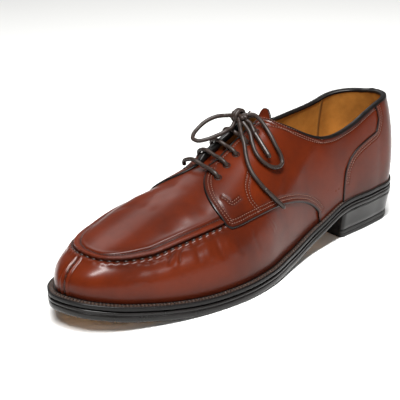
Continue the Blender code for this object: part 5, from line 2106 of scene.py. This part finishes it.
def make_finishes() -> dict:
    """Every finish of the shoe by the name its pieces ask for.

    Returns:
        The materials by name.
    """
    kinds = {
        # Smooth calf, hand-burnished and polished: reddish cognac that darkens to oxblood in the shade; near
        # black at its seams and edges, and as painted shade in creases and on the tongue
        "calf": Finish(
            "burnished_calf", "#541C07", "#330E04", "#0E0504", 0.32, rough_spread=0.05, grain_mm=0.5,
            grain_depth=0.016, mottle_mm=45, mottle=0.75, coat=0.14, coat_roughness=0.20,
            mark_strength=0.90, specular=0.10,
        ),
        # Cut edge inked black and waxed: dark with a soft gleam; the same black also fills the eyelet
        # hollows as painted shade
        "ink": Finish(
            "inked_edge", "#0C0908", "#15100E", "#080605", 0.34, rough_spread=0.06, grain_mm=0.7,
            grain_depth=0.015, mottle_mm=6, mottle=0.6, coat=0.0, coat_roughness=0.2, specular=0.22,
        ),
        # Vegetable-tanned sheep lining, undyed: ochre with darker handling marks; its mark colour darkens
        # the seams and, as painted shade, the lining near the facings
        "lining": Finish(
            "tanned_lining", "#A8702E", "#80521B", "#3A2410", 0.62, rough_spread=0.06, grain_mm=0.7,
            grain_depth=0.03, mottle_mm=18, mottle=0.8, coat=0.0, coat_roughness=0.2,
            mark_strength=0.8, specular=0.3,
        ),
        # Waxed linen thread: brown with a dull shine
        "thread": Finish(
            "linen_thread", "#6E4638", "#50322A", "#0A0605", 0.5, rough_spread=0.05, grain_mm=0.3,
            grain_depth=0.02, mottle_mm=2, mottle=0.5, specular=0.3,
        ),
        # Waxed hand thread: nearly black
        "hand_thread": Finish(
            "waxed_hand_thread", "#160D0A", "#241711", "#0A0605", 0.4, rough_spread=0.05,
            grain_mm=0.3, grain_depth=0.02, mottle_mm=2, mottle=0.5, specular=0.4,
        ),
        # Welt leather, inked and wheeled: black in its grooves and brown on the teeth
        "welt": Finish(
            "wheeled_welt", "#44352D", "#2C211C", "#070505", 0.40, rough_spread=0.06, grain_mm=0.5,
            grain_depth=0.02, mottle_mm=8, mottle=0.6, coat=0.0, coat_roughness=0.25,
            mark_strength=1.0, specular=0.22,
        ),
        # Sole edge, ironed and waxed: black and fairly glossy
        "edge": Finish(
            "ironed_edge", "#0E0C0B", "#171312", "#080606", 0.32, rough_spread=0.08, grain_mm=1.2,
            grain_depth=0.02, mottle_mm=14, mottle=0.6, coat=0.10, coat_roughness=0.15,
            specular=0.22,
        ),
        # Oak-bark sole leather, buffed: pale tan with scuffs
        "sole": Finish(
            "buffed_sole", "#B08556", "#8F6740", "#4A321E", 0.6, rough_spread=0.08, grain_mm=0.9,
            grain_depth=0.03, mottle_mm=24, mottle=0.8,
        ),
        # Stacked heel, inked and ironed: black with lift lines
        "heel": Finish(
            "inked_heel", "#0F0D0C", "#181514", "#080606", 0.36, rough_spread=0.06, grain_mm=1.0,
            grain_depth=0.02, mottle_mm=12, mottle=0.6, coat=0.05, coat_roughness=0.2, specular=0.22,
        ),
        # Moulded rubber: dull charcoal
        "rubber": Finish(
            "moulded_rubber", "#141312", "#1C1B1A", "#0A0A09", 0.6, rough_spread=0.06, grain_mm=0.8,
            grain_depth=0.03, mottle_mm=10, mottle=0.5, specular=0.3,
        ),
        # Round waxed cotton lace: braided taupe brown with a low gloss
        "lace": Finish(
            "waxed_cotton", "#291E19", "#1C1410", "#0E0A08", 0.42, rough_spread=0.06, grain_mm=0.4,
            grain_depth=0.10, mottle_mm=5, mottle=0.6, coat=0.0, coat_roughness=0.3,
            mark_strength=1.0, specular=0.28, weave_mm=0.9,
        ),
        # Lace tip of rolled acetate: brown and glossy
        "tip": Finish(
            "acetate_tip", "#221712", "#2D221C", "#0E0906", 0.38, rough_spread=0.04, grain_mm=2.0,
            grain_depth=0.01, mottle_mm=6, mottle=0.5, coat=0.1, coat_roughness=0.2, specular=0.3,
        ),
    }
    return {key: kind.make() for key, kind in kinds.items()}


@dataclass
class Studio:
    """A white floor, soft lights and the photograph's camera."""

    eye: tuple[float, float, float] = (0.6065, 0.5083, 0.3085)
    aim: tuple[float, float, float] = (0.1475, 0.0, 0.0515)
    roll: float = -0.03
    lens: float = 99.66

    def camera(self) -> None:
        """The camera at the photograph's angle."""
        data = bpy.data.cameras.new("camera")
        data.lens = self.lens
        data.sensor_width = 36.0
        data.clip_end = 20.0
        camera = bpy.data.objects.new("camera", data)
        ahead = np.subtract(self.aim, self.eye)
        ahead = ahead / np.linalg.norm(ahead)
        right = np.cross(ahead, (0.0, 0.0, 1.0))
        right /= np.linalg.norm(right)
        up = np.cross(right, ahead)
        c, s = math.cos(self.roll), math.sin(self.roll)
        axes = np.stack([right * c + up * s, -right * s + up * c, -ahead], 1)
        whole = np.eye(4)
        whole[:3, :3] = axes
        whole[:3, 3] = self.eye
        camera.matrix_world = Matrix(whole.tolist())
        bpy.context.scene.collection.objects.link(camera)
        bpy.context.scene.camera = camera

    def light(self, name: str, place: tuple, size: tuple[float, float], power: float) -> None:
        """A soft box that looks at the shoe.

        Args:
            name: its name.
            place: where it stands.
            size: its two sides.
            power: its power in watts.
        """
        data = bpy.data.lights.new(name, "AREA")
        data.shape = "RECTANGLE"
        data.size, data.size_y = size
        data.energy = power
        lamp = bpy.data.objects.new(name, data)
        ahead = np.subtract((0.1, 0.0, 0.03), place)
        ahead = ahead / np.linalg.norm(ahead)
        right = np.cross(ahead, (0.0, 1.0, 0.0))
        right /= np.linalg.norm(right)
        whole = np.eye(4)
        whole[:3, :3] = np.stack([right, np.cross(right, ahead), -ahead], 1)
        whole[:3, 3] = place
        lamp.matrix_world = Matrix(whole.tolist())
        bpy.context.scene.collection.objects.link(lamp)

    def build(self) -> None:
        """Floor, world and lights."""
        corners = [(-6.0, -6.0, 0.0), (6.0, -6.0, 0.0), (6.0, 6.0, 0.0), (-6.0, 6.0, 0.0)]
        paper = Finish(
            "white_paper", "#ECECEA", "#E8E8E6", "#E6E6E4", 0.9, rough_spread=0.02, grain_mm=0.5,
            grain_depth=0.001, mottle_mm=300, mottle=0.2, specular=0.1,
        ).make()
        floor = new_object("floor", corners, [[0, 1, 2, 3]], [paper])
        world = bpy.data.worlds.new("white_room")
        world.use_nodes = True
        background = world.node_tree.nodes["Background"]
        background.inputs["Color"].default_value = (1.0, 1.0, 1.0, 1.0)
        background.inputs["Strength"].default_value = 0.16
        bpy.context.scene.world = world
        bpy.context.scene.view_settings.view_transform = "Standard"
        self.light("top_strip", (0.44, 0.32, 1.20), (1.02, 0.17), 41.0)
        self.light("side_box", (0.12, 1.60, 0.68), (0.40, 0.20), 4.0)
        self.light("back_box", (-0.45, -1.30, 1.30), (1.2, 0.6), 6.0)


def main() -> None:
    """Build the shoe around the frame and report each piece."""
    logging.basicConfig(level=logging.INFO, format="%(name)s: %(message)s")
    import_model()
    finishes = make_finishes()
    last = Last()
    studio = Studio()
    studio.camera()
    Lacing(last, finishes).build()
    Upper(last, finishes).build()
    Tongue(last, finishes).build()
    Bottom(last, finishes).build()
    studio.build()


if __name__ == "__main__":
    main()
